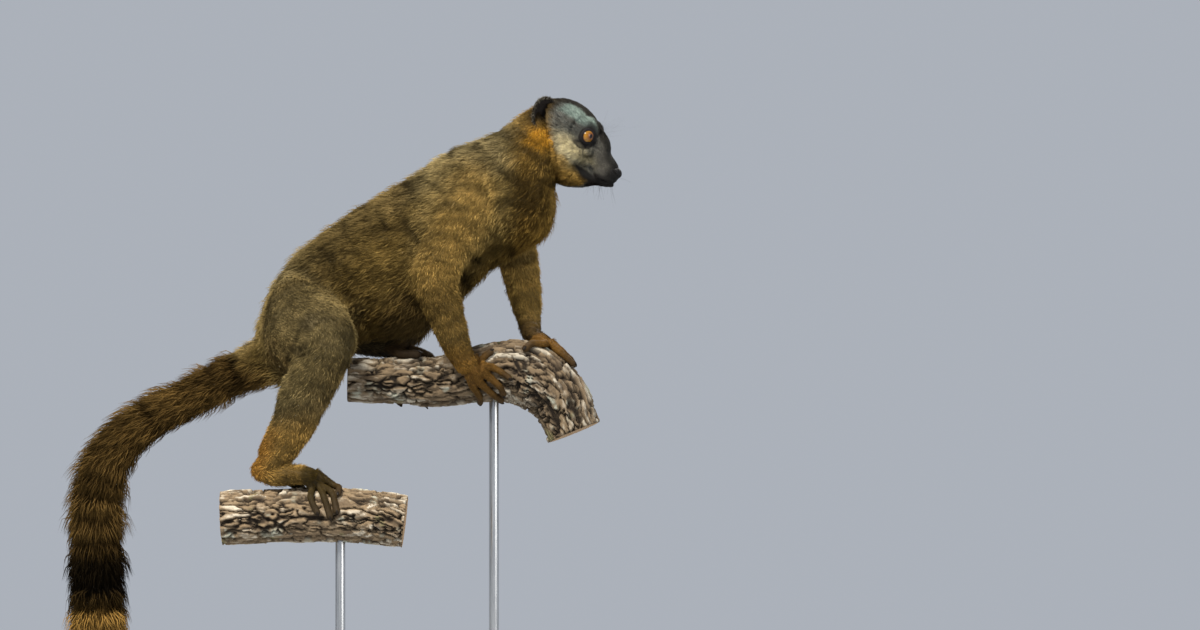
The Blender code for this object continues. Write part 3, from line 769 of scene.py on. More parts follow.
def nails():
    """A curved nail on each digit, the second toes with a grooming claw."""
    bm = bmesh.new()
    for name, digits in DIGITS.items():
        branch_line = Route([row[:4] for row in GRIPPED[name]], 8)
        for number, rows in enumerate(digits):
            tip, radius = rows[-1, :3], rows[-1, 3]
            _, _, near, _ = branch_line.near(tip[None])
            out = unit(tip - near[0, :3])
            ahead = unit(tip - rows[-5, :3])
            out = unit(out - (out @ ahead) * ahead)
            aside = np.cross(ahead, out)
            claw = name.startswith("foot") and number == 1
            size = (3.2, 0.9, 0.8) if claw else (radius * 0.75, radius * 0.42, radius * 0.24)
            place = tip + out * radius * 0.62 + ahead * radius * (0.8 if claw else 0.62)
            tilted = unit(ahead - out * 0.35)
            axes = np.stack([tilted, aside, np.cross(tilted, aside), place], 1)
            shape = Matrix([*axes.tolist(), (0, 0, 0, 1)]) @ Matrix.Diagonal((*size, 1))
            bmesh.ops.create_uvsphere(bm, u_segments=16, v_segments=10, radius=1, matrix=shape)
    in_place(as_object(bm, "nails"), HORN, "digit_skin")


# Whiskers over the eyes, on the muzzle and on the chin: how many on a side, where, how far they spread,
# their way and how much it varies, and their shortest and longest.
WHISKERS = [
    (12, (4, 8.5, 9.5), (3.5, 3, 2), (0.42, 0.2, 0.95), 0.2, (18, 36)),
    (14, (31, 9, -20), (6, 2, 3), (0.35, 0.85, -0.3), 0.4, (14, 32)),
    (8, (27, 5, -33), (6, 3, 1.5), (0.3, 0.35, -1.0), 0.35, (9, 18)),
]


def whiskers():
    """Long stiff hairs, thinning and drooping to their tips."""
    section = np.array([(0, 1, 0.6), (0.6, -1, 0.3), (-0.6, 0, -1)]) * 0.1
    bm = bmesh.new()
    for side in (1, -1):
        for count, at, spread, way, fan, lengths in WHISKERS:
            for _ in range(count):
                root = (np.array(at) + rng.normal(0, 1, 3) * spread * np.array(0.6)) * (1, side, 1)
                heading = unit(np.array(way) * (1, side, 1) + rng.normal(0, fan, 3))
                droop = rng.normal(0, 0.15, 3) + (0, 0, -0.12)
                length = rng.uniform(*lengths)
                rings = []
                for t in np.arange(7) / 6:
                    centre = root + (heading * t + droop * t * t) * length
                    rings.append([bm.verts.new(centre + corner) for corner in section * (1 - 0.8 * t)])
                add_bands(bm, rings)
                bm.faces.new(rings[0])
                bm.faces.new(rings[-1])
    in_head(as_object(bm, "whiskers"), HORN, "face_fur")


# ---------------- branches and stand


def worley(points, seed):
    """Distances to the nearest and second nearest of scattered centres, and the nearest one's number."""
    cell = np.floor(points).astype(np.int64)
    first = np.full(len(points), 9.0)
    second = first.copy()
    owner = np.zeros(len(points))
    for step in np.ndindex(3, 3, 3):
        there = cell + np.array(step) - 1
        jitter = np.stack([cell_values(there + 1000, seed + k) for k in range(3)], 1)
        distance = np.linalg.norm(there + jitter - points, axis=1)
        nearer = distance < first
        second = np.where(nearer, first, np.minimum(second, distance))
        owner = np.where(nearer, cell_values(there + 1000, seed + 7), owner)
        first = np.where(nearer, distance, first)
    return first, second, owner


def bark(place):
    """The height and colour of bark at places: across and through the branch, and along it."""
    warped = place + 3.0 * noise_rows(place, 16, 60) + 1.3 * noise_rows(place, 4.5, 65)
    long_lines = np.abs(rough_noise(warped * (1, 1, 0.15), 6.0, 2, 33))
    fissure = between(0.15, 0.02, long_lines)
    first, second, plate = worley(warped / (6.5, 6.5, 26), 3)
    crack = between(0.15, 0.04, second - first) * between(-0.35, 0.25, noise(place, 17, 23))
    first, second, chip = worley(warped / (2.8, 2.8, 11) + 50, 11)
    chips = between(0.12, 0.0, second - first) * between(-0.3, 0.4, noise(place, 9, 29))
    gap = 1 - np.maximum(fissure, crack)
    fine = rough_noise(place * (1, 1, 0.3), 1.9, 3, 20)
    swell = rough_noise(place, 34, 2, 40)
    height = swell * 1.5 + gap * (1.9 + 1.6 * plate + 7 * np.minimum(long_lines, 0.1))
    height += (1 - chips) * gap * (0.3 + 0.5 * chip) + fine * 0.75 - 4.4
    lichen = between(0.25, 0.5, rough_noise(place, 13, 3, 77)) * gap * between(-0.4, 0.3, fine)
    moss = between(0.35, 0.6, rough_noise(place + 300, 18, 3, 91)) * gap
    colour = coloured(
        len(place), (0.195, 0.14, 0.084),
        ((0.5, 0.45, 0.36), between(0.35, 0.9, plate + 0.3 * fine) * gap * between(0.1, 0.45, long_lines)),
        ((0.075, 0.052, 0.032), between(0.45, 0.1, chip) * 0.8),
        ((0.012, 0.008, 0.005), 1 - gap),
        ((0.05, 0.036, 0.022), chips * 0.6),
        ((0.42, 0.44, 0.36), lichen * 0.75),
        ((0.16, 0.17, 0.07), moss * 0.5),
    )
    return height, colour * (1 + 0.25 * fine)[:, None]


def capped_rings(name, rings, ends, colours):
    """A closed, painted piece from rings of points, with the two points that close its ends."""
    count, sides = rings.shape[:2]
    grid = np.arange(count * sides).reshape(count, sides)
    low, high = grid[:-1], grid[1:]
    faces = np.stack([low, np.roll(low, -1, 1), np.roll(high, -1, 1), high], 2).reshape(-1, 4).tolist()
    for first, second in zip(grid[0].tolist(), np.roll(grid[0], -1).tolist()):
        faces.append((grid.size, second, first))
        faces.append((grid.size + 1, grid.size - sides + first, grid.size - sides + second))
    mesh = bpy.data.meshes.new(name)
    mesh.from_pydata(np.vstack([rings.reshape(-1, 3), ends]).tolist(), [], faces)
    bm = bmesh.new()
    bm.from_mesh(mesh)
    bpy.data.meshes.remove(mesh)
    thing = as_object(bm, name)
    paint(thing, colours)
    return thing


def branch(name, stations, pale):
    """A cut branch: bark, its colour scaled by a factor of painted light, and its two cut faces."""
    sides, spacing = 168, 1.05
    coarse = Route(stations, 6)
    at = np.linspace(0, coarse.along[-1], int(coarse.along[-1] / spacing))
    rows = np.stack([np.interp(at, coarse.along, coarse.rows[:, k]) for k in range(4)], 1)
    ahead = unit(np.gradient(rows[:, :3], axis=0))
    over = unit(UP - (ahead @ UP)[:, None] * ahead)
    aside = np.cross(ahead, over)
    angle = np.linspace(0, TURN, sides + 1)[:-1]
    turn = np.stack([np.cos(angle), np.sin(angle)], 1)
    out = over[:, None] * turn[None, :, :1] + aside[:, None] * turn[None, :, 1:]
    round_and_along = (rows[:, 3:, None] * turn[None], np.repeat(at[:, None, None], sides, 1))
    height, colour = bark(np.concatenate(round_and_along, 2).reshape(-1, 3))
    points = rows[:, None, :3] + out * (rows[:, 3:4] + height.reshape(-1, sides))[:, :, None]
    # The bark's colour scaled by the factor of painted light.
    colours = np.vstack([colour * pale, [(0.05, 0.03, 0.02)] * 2])
    in_place(capped_rings(name + "_bark", points, rows[[0, -1], :3], colours), BARK, "bark", name)
    for number, (index, sign) in enumerate(((0, -1), (-1, 1)), 1):
        cut_face(f"{name}_cut_{number}", rows[index, :3], ahead[index] * sign, points[index])


def cut_face(name, centre, way, outline):
    """The sawn end of a branch, with its rings and drying cracks."""
    steps, inward, year = 20, 0.93, 1.9
    face, back = way * 0.35, way * 0.8
    offset = outline - way * ((outline - centre) @ way)[:, None] - centre
    angle = np.linspace(0, TURN, len(outline) + 1)[:-1]
    pith = offset[len(outline) // 5] * 0.12
    rows, colours = [], []
    for reach in np.arange(1, steps + 1) / steps:
        ring = pith * (1 - reach) + offset * reach * inward
        wobble = np.linalg.norm(ring, axis=1) + 0.5 * noise(ring + 70, 6, 31)
        crack = np.zeros(len(angle))
        for at, width in ((0.6, 0.03), (2.3, 0.022), (3.9, 0.035), (5.2, 0.02)):
            away = np.abs((angle - at - 0.06 * math.sin(reach * 7) + math.pi) % TURN - math.pi)
            crack = np.maximum(crack, between(width / max(reach, 0.15), 0, away) * between(0.15, 0.5, reach))
        saw = 0.08 * noise(ring + 11, 1.2, 8)
        rows.append(centre + ring + face + way * (saw - 0.9 * crack)[:, None])
        colours.append(coloured(
            len(angle), (0.42, 0.28, 0.15),
            ((0.26, 0.155, 0.075), (0.5 + 0.5 * np.sin(wobble * TURN / year)) ** 3),
            ((0.3, 0.17, 0.08), np.full(len(angle), between(0.5, 0.1, reach)) * 0.6),
            ((0.05, 0.03, 0.018), crack),
        ))
    rows.append(centre + offset * inward - back)
    colours.append(coloured(len(angle), (0.12, 0.07, 0.04)))
    colours.append([(0.2, 0.11, 0.05), (0.1, 0.06, 0.03)])
    thing = capped_rings(name, np.array(rows), [centre + pith + face, centre - back], np.vstack(colours))
    in_place(thing, CUT, "cut_wood", smooth_shading=False)


def stand():
    """The board and rods of the display stand, with eased edges."""
    low, high = (np.array(corner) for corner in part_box("stand_base"))
    bm = bmesh.new()
    place = Matrix.Translation((low + high) / 2) @ Matrix.Diagonal((*(high - low), 1))
    bmesh.ops.create_cube(bm, size=1, matrix=place)
    bmesh.ops.bevel(bm, geom=bm.edges[:], offset=0.003, segments=5, profile=0.6, affect="EDGES")
    finish(as_object(bm, "stand_board"), WOOD, "stand_wood", "stand_base", smooth_shading=False)
    for name in ("stand_rod_upper", "stand_rod_lower"):
        low, high = (np.array(corner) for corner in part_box(name))
        middle = (low + high) / 2
        bm = bmesh.new()
        # The rod and its collar: middle height, height, radius at the foot and radius at the top.
        for z, height, foot, top in (
            (middle[2], high[2] - low[2], 0.005, 0.005),
            (0.0235, 0.004, 0.0095, 0.0085),
        ):
            at = Matrix.Translation((middle[0], middle[1], z))
            size = {"radius1": foot, "radius2": top, "depth": height}
            bmesh.ops.create_cone(bm, cap_ends=True, segments=64, matrix=at, **size)
        thing = as_object(bm, name + "_polished")
        modify(thing, "BEVEL", width=0.0006, segments=3)
        finish(settle(thing), STEEL, "stand_steel", name)


# ---------------- materials


def new_material(name, values):
    """A Principled material, with the shader's input values."""
    made = bpy.data.materials.new(name)
    made.use_nodes = True
    shader = made.node_tree.nodes["Principled BSDF"]
    for key, value in values.items():
        shader.inputs[key].default_value = value
    return made, made.node_tree, shader


def add_node(tree, kind, values, wires, **settings):
    """A shader node with its input values and the outputs wired to its inputs."""
    made = tree.nodes.new("ShaderNode" + kind)
    for key, value in settings.items():
        setattr(made, key, value)
    for key, value in values.items():
        made.inputs[key].default_value = value
    for key, output in wires.items():
        tree.links.new(output, made.inputs[key])
    return made


def add_noise(tree, place, scale, detail, distortion=0.0):
    """A noise texture's output."""
    values = {"Scale": scale, "Detail": detail, "Distortion": distortion}
    return add_node(tree, "TexNoise", values, {"Vector": place}).outputs["Fac"]


def add_spread(tree, value, low, high):
    """A value spread between two numbers."""
    made = add_node(tree, "MapRange", {"To Min": low, "To Max": high}, {"Value": value})
    return made.outputs["Result"]


def add_product(tree, share, first, second):
    """Two colours multiplied, by a share."""
    ways = {"data_type": "RGBA", "blend_type": "MULTIPLY"}
    return add_node(tree, "Mix", {"Factor": share}, {6: first, 7: second}, **ways).outputs[2]


def add_ramp(tree, value, low, high):
    """A ramp between two stops: place and colour."""
    made = add_node(tree, "ValToRGB", {}, {"Fac": value})
    for element, (place, colour) in zip(made.color_ramp.elements, (low, high)):
        element.position = place
        element.color = (*colour, 1)
    return made.outputs["Color"]


def add_relief(tree, shader, height, strength, distance):
    """A bump on the shader's normal."""
    bump = add_node(tree, "Bump", {"Strength": strength, "Distance": distance}, {"Height": height})
    tree.links.new(bump.outputs["Normal"], shader.inputs["Normal"])


def add_place(tree, stretch=None):
    """Places on the object, stretched where it is asked for."""
    place = add_node(tree, "TexCoord", {}, {}).outputs["Object"]
    if stretch:
        place = add_node(tree, "Mapping", {"Scale": stretch}, {"Vector": place}).outputs["Vector"]
    return place


def painted(name, roughness, grain, contrast, bump, specular, coat=0):
    """A surface coloured by its mesh's own colours, broken by fine noise, with a clear coat if asked."""
    values = {"Specular IOR Level": specular, "Coat Weight": coat, "Coat Roughness": 0.02 if coat else 0.03}
    made, tree, shader = new_material(name, {"Roughness": roughness, **values})
    colour = add_node(tree, "Attribute", {}, {}, attribute_name="coat").outputs["Color"]
    speckle = add_noise(tree, add_place(tree), grain, 3)
    spread = add_spread(tree, speckle, 1 - contrast, 1 + contrast)
    tree.links.new(add_product(tree, 1, colour, spread), shader.inputs["Base Color"])
    if bump:
        add_relief(tree, shader, speckle, bump, 0.0006)
    return made


def plain(name, colour, roughness, coat, grain, bump):
    """A bare surface: fine pores and patches over one colour."""
    values = {"Specular IOR Level": 0.08, "Coat Weight": coat, "Coat Roughness": 0.16}
    made, tree, shader = new_material(name, {"Roughness": roughness, **values})
    speckle = add_noise(tree, add_place(tree), grain, 4)
    low, high = (0.3, [0.55 * c for c in colour]), (0.75, [1.5 * c for c in colour])
    tree.links.new(add_ramp(tree, speckle, low, high), shader.inputs["Base Color"])
    add_relief(tree, shader, speckle, bump, 0.0004)
    return made


def walnut():
    """Oiled dark wood: a long grain of bands and pores."""
    made, tree, shader = new_material("walnut", {"Roughness": 0.42, "Coat Weight": 0.15})
    place = add_place(tree, (2.2, 22, 22))
    bands = add_noise(tree, place, 3, 5, 1.4)
    pores = add_noise(tree, place, 60, 2)
    grain = add_ramp(tree, bands, (0.3, (0.035, 0.016, 0.008)), (0.7, (0.13, 0.062, 0.028)))
    tree.links.new(add_product(tree, 0.35, grain, pores), shader.inputs["Base Color"])
    add_relief(tree, shader, pores, 0.15, 0.0003)
    return made


def steel():
    """Brushed steel."""
    made, tree, shader = new_material("steel", {"Roughness": 0.3, "Metallic": 1.0})
    brushed = add_noise(tree, add_place(tree, (900, 900, 30)), 1, 2)
    tree.links.new(add_spread(tree, brushed, 0.2, 0.42), shader.inputs["Roughness"])
    shade = add_ramp(tree, brushed, (0, (0.42, 0.43, 0.44)), (1, (0.66, 0.67, 0.68)))
    tree.links.new(shade, shader.inputs["Base Color"])
    return made


FUR = painted("fur", 0.8, 900, 0.2, 0, 0.04)
SKIN = painted("skin", 0.65, 1500, 0.2, 0.5, 0.12)
BARK = painted("bark", 0.85, 1300, 0.35, 0.7, 0.2)
CUT = painted("cut_wood", 0.7, 2200, 0.18, 0.3, 0.25)
EYE = painted("eye", 0.15, 2500, 0.12, 0, 0.3, coat=0.45)
BARE = plain("bare_skin", (0.007, 0.0062, 0.006), 0.6, 0.2, 2600, 0.35)
HORN = plain("horn", (0.014, 0.01, 0.007), 0.5, 0.03, 1200, 0.2)
WOOD = walnut()
STEEL = steel()


# ---------------- markings

DARK_HAIR = (0.02, 0.015, 0.01)
ORANGE = (0.48, 0.24, 0.026)


def body_colours(points, normals, weights):
    """The coat's colour on body, limbs and tail, with painted shade on the belly, flank, neck, legs and far
    wrist.
    """
    x, z = points[:, 0], points[:, 2]
    up = normals[:, 2]
    share = dict(zip(ROUTES, weights))
    trunk, near_arm, near_leg = share["trunk"], share["arm_right"], share["leg_right"]
    legs = np.maximum(near_leg, share["leg_left"])
    shaded_under = np.maximum(between(0.1, -0.75, up), between(570, 525, z - 0.35 * x)) * trunk
    shaded_flank = between(50, 10, x) * between(-120, -60, x) * trunk
    back_of_heel = between(-108, -132, x - 0.35 * (z - 385)) * between(425, 395, z)
    tail = between(0.3, 0.75, share["tail"])
    colour = coloured(
        len(points), (0.235, 0.168, 0.058),
        ((0.155, 0.125, 0.062), between(-0.2, 0.5, rough_noise(points, 38, 3, 5)) * 0.7),
        # Arms, near forearm, legs.
        ((0.37, 0.235, 0.064), np.maximum(near_arm, share["arm_left"]) * 0.85),
        ((0.19, 0.12, 0.034), between(580, 545, z) * near_arm * 0.9),
        ((0.205, 0.155, 0.066), legs * 0.8),
        # Greyer back; painted shade darkening the belly, the underside and the flank, and the hair that hangs
        # beside the near arm.
        ((0.26, 0.205, 0.098), between(0.1, 0.8, up) * trunk * 0.7),
        ((0.085, 0.05, 0.01), np.maximum(shaded_under, shaded_flank * 0.75) * 0.85),
        ((0.05, 0.033, 0.012), hanging(points, normals) * 0.8),
        # Painted shade on the legs' undersides; shin, heel and ankles; painted shade low on the far leg.
        ((0.13, 0.082, 0.028), between(0.2, -0.7, up) * legs * 0.6),
        ((0.29, 0.178, 0.048), between(440, 400, z) * near_leg),
        ((0.34, 0.155, 0.024), back_of_heel * near_leg * 0.75),
        ((0.2, 0.125, 0.036), between(-118, -100, x) * between(388, 374, z) * near_leg),
        ((0.05, 0.036, 0.018), between(512, 498, z) * share["leg_left"]),
        # Wrists: the near one orange, the far one darker with painted shade.
        ((0.27, 0.145, 0.032), between(505, 478, z) * near_arm),
        ((0.13, 0.08, 0.026), between(535, 510, z) * share["arm_left"]),
        # Tail, with its dark band, paler part and dark tip.
        ((0.088, 0.052, 0.015), tail),
        ((0.006, 0.004, 0.0015), between(304, 288, z) * between(240, 256, z) * tail * 0.97),
        ((0.21, 0.12, 0.03), between(246, 232, z) * tail * 0.85),
        ((0.03, 0.02, 0.009), between(150, 80, z) * tail * 0.8),
    )
    local = to_head(points)
    return layered(
        colour * (1 + 0.3 * rough_noise(points, 13, 2, 15))[:, None],
        # The neck below the head: orange-brown, darkened with painted shade.
        ((0.16, 0.092, 0.019), trunk * between(112, 138, x) * 0.8),
        (DARK_HAIR, ear_base(local) * (1 - tail)),
        (ORANGE, orange_patch(local) * (1 - tail)),
    )


def hanging(points, normals):
    """1 on the belly beside the near arm, where the hair hangs longest and is darkened with painted shade."""
    x = points[:, 0]
    return between(-0.1, -0.6, normals[:, 2]) * between(-12, 8, x) * between(78, 50, x) * (points[:, 1] > -45)


def orange_patch(local):
    """How orange the coat is behind the cheek."""
    u, w, v = local.T
    wavy = 3 * noise(local, 7, 33)
    return np.clip(1.7 * hump(u + 38 + wavy, 10) * hump(v + 29 + wavy, 9), 0, 1) * between(6, 14, np.abs(w))


def ear_base(local):
    """The dark hair round the foot of the ear."""
    u, w, v = local.T
    return np.clip(1.4 * hump(u + 55, 10) * hump(v + 8, 11), 0, 1) * between(8, 16, np.abs(w)) * 0.85


def cheek_edge(u):
    """How high the orange and the beard reach behind and below the cheek, in the head's frame."""
    return np.interp(u, (-60, -45, -30, -12, 3, 24), (-15, -19, -24, -30.5, -33, -35))


def head_colours(local):
    """The coat's colour on the head, by the head's frame."""
    u, w, v = local.T
    aside = np.abs(w)
    grain = rough_noise(local, 7, 3, 9)
    speckle = rough_noise(local * (1, 1, 1.6), 2.6, 2, 19)
    # The cream cheek spreads forwards below the eye to the side of the muzzle.
    cheek = hump(u + 13, 15) * hump(v + 21 + 2 * grain, 8.5) * between(7, 13, aside)
    pad = hump(u - 8, 11) * hump(v + 21, 6) * between(5, 10, aside)
    pale_cheek = np.clip(1.25 * cheek + 0.85 * pad, 0, 1) * (0.72 + 0.28 * between(0.4, -0.3, speckle))
    # A pale grey patch over the eye runs back to the ear; its bluish tint is painted skylight in shade.
    back = EYE_AT[0] - u
    upper = v - EYE_AT[2] + 0.12 * back
    pale = between(6.0, 10.5, upper + 1.5 * grain) * between(11, 14.5, aside + 1.2 * grain - 0.05 * back)
    pale = pale * between(-12, -4, back) * between(37, 27, back)
    # Orange behind the cheek, and a brown beard with a paler edge below the corner of the mouth.
    below = cheek_edge(u) - v + 2.4 * grain
    beard = between(-2.5, 3.5, below) * between(5, 10, aside + 0.35 * below)
    behind = orange_patch(local) * between(-3, 3, below)
    beard_edge = hump(below - 1, 3.5) * hump(u + 3, 12) * between(6, 10, aside)
    # Dark muzzle, bridge, median stripe, crown and lips.
    muzzle = between(8, 30, u - 0.3 * (aside - 8) + 0.45 * (v + 20))
    grizzle = between(0.15, 0.5, noise(local, 1.5, 29)) * muzzle * between(34, 22, u) * between(-2, -10, v)
    bridge = between(12, 7, aside + 1.5 * grain) * between(-10, 0, u) * between(-17, -9, v)
    stripe = between(14.5, 10.5, aside + 1.4 * grain - 0.09 * np.maximum(back, 0)) * between(0, 8, v)
    inner_corner = hump(u - 5, 6) * hump(v + 6, 5) * between(15, 11, aside)
    distance, height = from_mouth(local)
    lips = between(7.5, 3.5, distance * np.where(v > height, 1.15, 0.85) * (1 + 0.7 * between(15, 5, u)))
    return coloured(
        len(local), (0.085, 0.088, 0.08),
        ((0.05, 0.047, 0.04), between(-0.05, 0.45, speckle) * 0.75),
        ((0.46, 0.4, 0.24), pale_cheek),
        ((0.16, 0.21, 0.19), pale * (0.8 + 0.2 * between(0.3, -0.3, speckle))),
        ((0.25, 0.15, 0.036), beard),
        (ORANGE, behind),
        ((0.36, 0.26, 0.1), beard_edge * 0.8),
        ((0.07, 0.042, 0.012), between(7, 18, below) * beard * (1 - behind) * 0.7),
        ((0.1, 0.06, 0.02), between(0.1, 0.5, grain) * beard * 0.6),
        ((0.082, 0.077, 0.066), muzzle),
        ((0.16, 0.145, 0.115), grizzle * 0.7),
        ((0.024, 0.023, 0.02), bridge),
        ((0.02, 0.019, 0.017), stripe),
        ((0.03, 0.028, 0.026), inner_corner * 0.8),
        ((0.024, 0.021, 0.016), between(-36, -48, u) * between(-8, 0, v)),
        (DARK_HAIR, ear_base(local)),
        ((0.012, 0.011, 0.01), lips),
        ((0.014, 0.013, 0.012), between(28, 36, u)),
        ((0.014, 0.012, 0.011), between(17, 25, u) * between(-24, -29, v)),
        ((0.02, 0.018, 0.018), between(2.0, 1.55, around_eyes(local))),
    )


def all_colours(points, normals):
    """Head and body together."""
    head = head_share(points)[:, None]
    _, _, weights = body_field(points)
    return body_colours(points, normals, weights) * (1 - head) + head_colours(to_head(points)) * head


# ---------------- coat


class Surface:
    """Triangles of a mesh, for sowing roots on."""

    def __init__(self, thing):
        thing.data.calc_loop_triangles()
        flat = np.empty(len(thing.data.loop_triangles) * 3, np.int32)
        thing.data.loop_triangles.foreach_get("vertices", flat)
        self.faces = flat.reshape(-1, 3)
        self.points = vertices(thing)
        self.normals = vertex_normals(thing)
        a, b, c = (self.points[self.faces[:, i]] for i in range(3))
        self.areas = np.linalg.norm(np.cross(b - a, c - a), axis=1) / 2
        self.centres = (a + b + c) / 3

    def sow(self, count, weight):
        """Roots spread evenly, denser where the weight of a face is larger."""
        total = np.cumsum(self.areas * weight)
        at = (np.arange(count) + rng.random(count)) / count * total[-1]
        face = self.faces[np.minimum(np.searchsorted(total, at), len(total) - 1)]
        a, b = rng.random((2, count))
        over = a + b > 1
        a, b = np.where(over, 1 - a, a), np.where(over, 1 - b, b)
        shares = np.stack([1 - a - b, a, b], 1)[:, :, None]
        return (self.points[face] * shares).sum(1), unit((self.normals[face] * shares).sum(1))


# Faces of a tuft, and its corners' places in its patch of the bake's map. A bent tuft has a middle ring.
BENT = (
    [(0, 2, 1), (0, 1, 4, 3), (1, 2, 5, 4), (2, 0, 3, 5), (3, 4, 6), (4, 5, 6), (5, 3, 6)],
    [(-1, -1), (1, -1), (0, -0.6), (-0.6, 0.1), (0.6, 0.1), (0, 0.3), (0, 1)],
)
STRAIGHT = ([(0, 2, 1), (0, 1, 3), (1, 2, 3), (2, 0, 3)], [(-1, -1), (1, -1), (0, -0.5), (0, 1)])
PATCH_HALF = 0.0015
PATCH_MARGIN = 0.01


def clump(roots, middles, tips, size, pull):
    """Draws tufts together at their tips, round centres of the given spacing."""
    cells = len(np.unique(np.floor(roots / size).astype(np.int64), axis=0))
    centres = rng.choice(len(roots), max(1, int(cells * 0.8)), replace=False)
    tree = KDTree(len(centres))
    for index in centres:
        tree.insert(roots[index], int(index))
    tree.balance()
    nearest = np.array([tree.find(root)[1] for root in roots])
    middles += (middles[nearest] - middles) * (pull * 0.4)[:, None]
    tips += (tips[nearest] - tips) * pull[:, None]
    return nearest


def tuft_mesh(name, verts, faces, colours, uvs):
    """One mesh of many tufts, each of the same few faces."""
    count, corners = verts.shape[:2]
    mesh = bpy.data.meshes.new(name)
    loops = np.concatenate([np.array(f) for f in faces])
    starts = np.concatenate([[0], np.cumsum([len(f) for f in faces])[:-1]])
    mesh.vertices.add(count * corners)
    mesh.vertices.foreach_set("co", ((verts.reshape(-1, 3) + MIDLINE) * MM).astype(np.float32).ravel())
    tufts = np.arange(count)[:, None]
    corner_of = (loops[None] + tufts * corners).ravel().astype(np.int32)
    mesh.loops.add(len(corner_of))
    mesh.loops.foreach_set("vertex_index", corner_of)
    mesh.polygons.add(count * len(faces))
    mesh.polygons.foreach_set("loop_start", (starts[None] + tufts * len(loops)).ravel().astype(np.int32))
    layer = mesh.uv_layers.new(name="OFBake")
    layer.data.foreach_set("uv", uvs.reshape(-1, 2)[corner_of].astype(np.float32).ravel())
    mesh.update(calc_edges=True)
    thing = add_object(name, mesh)
    paint(thing, colours.reshape(-1, 3))
    return thing


def grow(name, slot, roots, normals, lies, length, width, lift, colours, unwrap, bent, clumps, tones):
    """Grows tufts: each root has its normal, lie, length, width, lift in radians, colour and unwrap.

    The clumps are their spacing and pull, and the tones are those of a tuft's root and tip; the darker root
    is painted shade deep in the coat, with the hair's own darker base.
    """
    count = len(roots)
    flat = unit(lies - (lies * normals).sum(1, keepdims=True) * normals)
    flat = unit(flat + np.cross(normals, flat) * rng.normal(0, 0.22, count)[:, None])
    side = np.cross(normals, flat)
    half = (length * rng.uniform(0.75, 1.15, count) / 2)[:, None]
    lift = lift * rng.uniform(0.7, 1.3, count)
    wave = side * rng.normal(0, 0.26, count)[:, None]
    low, high = ((lift * steep)[:, None] for steep in (1.5 if bent else 1.0, 0.5))
    middles = roots + unit(flat * np.cos(low) + normals * np.sin(low) + wave * 0.5) * half
    tips = middles + unit(flat * np.cos(high) + normals * np.sin(high) - wave) * half
    size, pull = clumps
    nearest = clump(roots, middles, tips, size, pull * rng.uniform(0.6, 1.3, count))
    up = np.cross(unit(middles - roots), side)
    wide = (np.zeros(count) + width)[:, None] / 2
    ring = [(side * math.cos(a) + up * math.sin(a) * 0.7) * wide for a in np.radians((210, 330, 90))]
    buried = roots - normals * 0.5
    middle_ring = [middles + corner * 0.8 for corner in ring] if bent else []
    verts = np.stack([buried + corner for corner in ring] + middle_ring + [tips], 1)
    faces, patch = BENT if bent else STRAIGHT
    lock = 0.68 + 0.64 * cell_values(np.stack([nearest] * 3, 1), 3)
    # The darker root is painted shade deep in the coat, with the hair's own darker base; the tip's tone is
    # its banding.
    tone = np.array([tones[0]] * 3 + [1.0] * len(middle_ring) + [tones[1]]) * lock[:, None]
    tone[:, -1] *= rng.choice([0.8, 1.0, 1.25], count, p=[0.3, 0.4, 0.3])
    place = PATCH_MARGIN + (1 - 2 * PATCH_MARGIN) * unwrap
    uvs = place[:, None, :] + np.array(patch)[None] * PATCH_HALF
    finish(tuft_mesh(name, verts, faces, colours[:, None, :] * tone[:, :, None], uvs), FUR, slot)


def unwrap_by_route(points, route):
    """A place on an unwrap: angle round the route, and distance along it."""
    _, along, rows, ahead = route.near(points)
    reference = np.where(np.abs(ahead[:, 1:2]) < 0.8, LEFT, UP)
    side = unit(reference - (reference * ahead).sum(1, keepdims=True) * ahead)
    out = points - rows[:, :3]
    angle = np.arctan2((out * np.cross(ahead, side)).sum(1), (out * side).sum(1))
    return np.stack([angle / TURN + 0.5, along / route.along[-1]], 1)


# Each part's coat: how many long and short tufts, their length, width and lift, and the slot.
COAT = {
    "trunk": (7000, 89000, 12, 0.8, 0.5, "body_fur"),
    "tail": (6000, 33000, 21, 1.05, 0.45, "tail_fur"),
    "arm_right": (1400, 22500, 9, 0.7, 0.48, "limb_fur"),
    "arm_left": (1100, 17500, 9, 0.7, 0.48, "limb_fur"),
    "leg_right": (2500, 37500, 10.5, 0.75, 0.46, "limb_fur"),
    "leg_left": (1800, 26000, 10.5, 0.75, 0.46, "limb_fur"),
}


def ripples(roots, along):
    """Soft bands across the lie of the hair where the coat parts, and locks along it, from -1 to 1."""
    place = np.stack([along, roots[:, 1], roots[:, 2]], 1)
    for size, seed in (((11.0, 24.0, 24.0), 61), ((26.0, 6.5, 6.5), 81)):
        yield np.clip(1.4 * rough_noise(place, np.array(size), 2, seed), -1, 1)


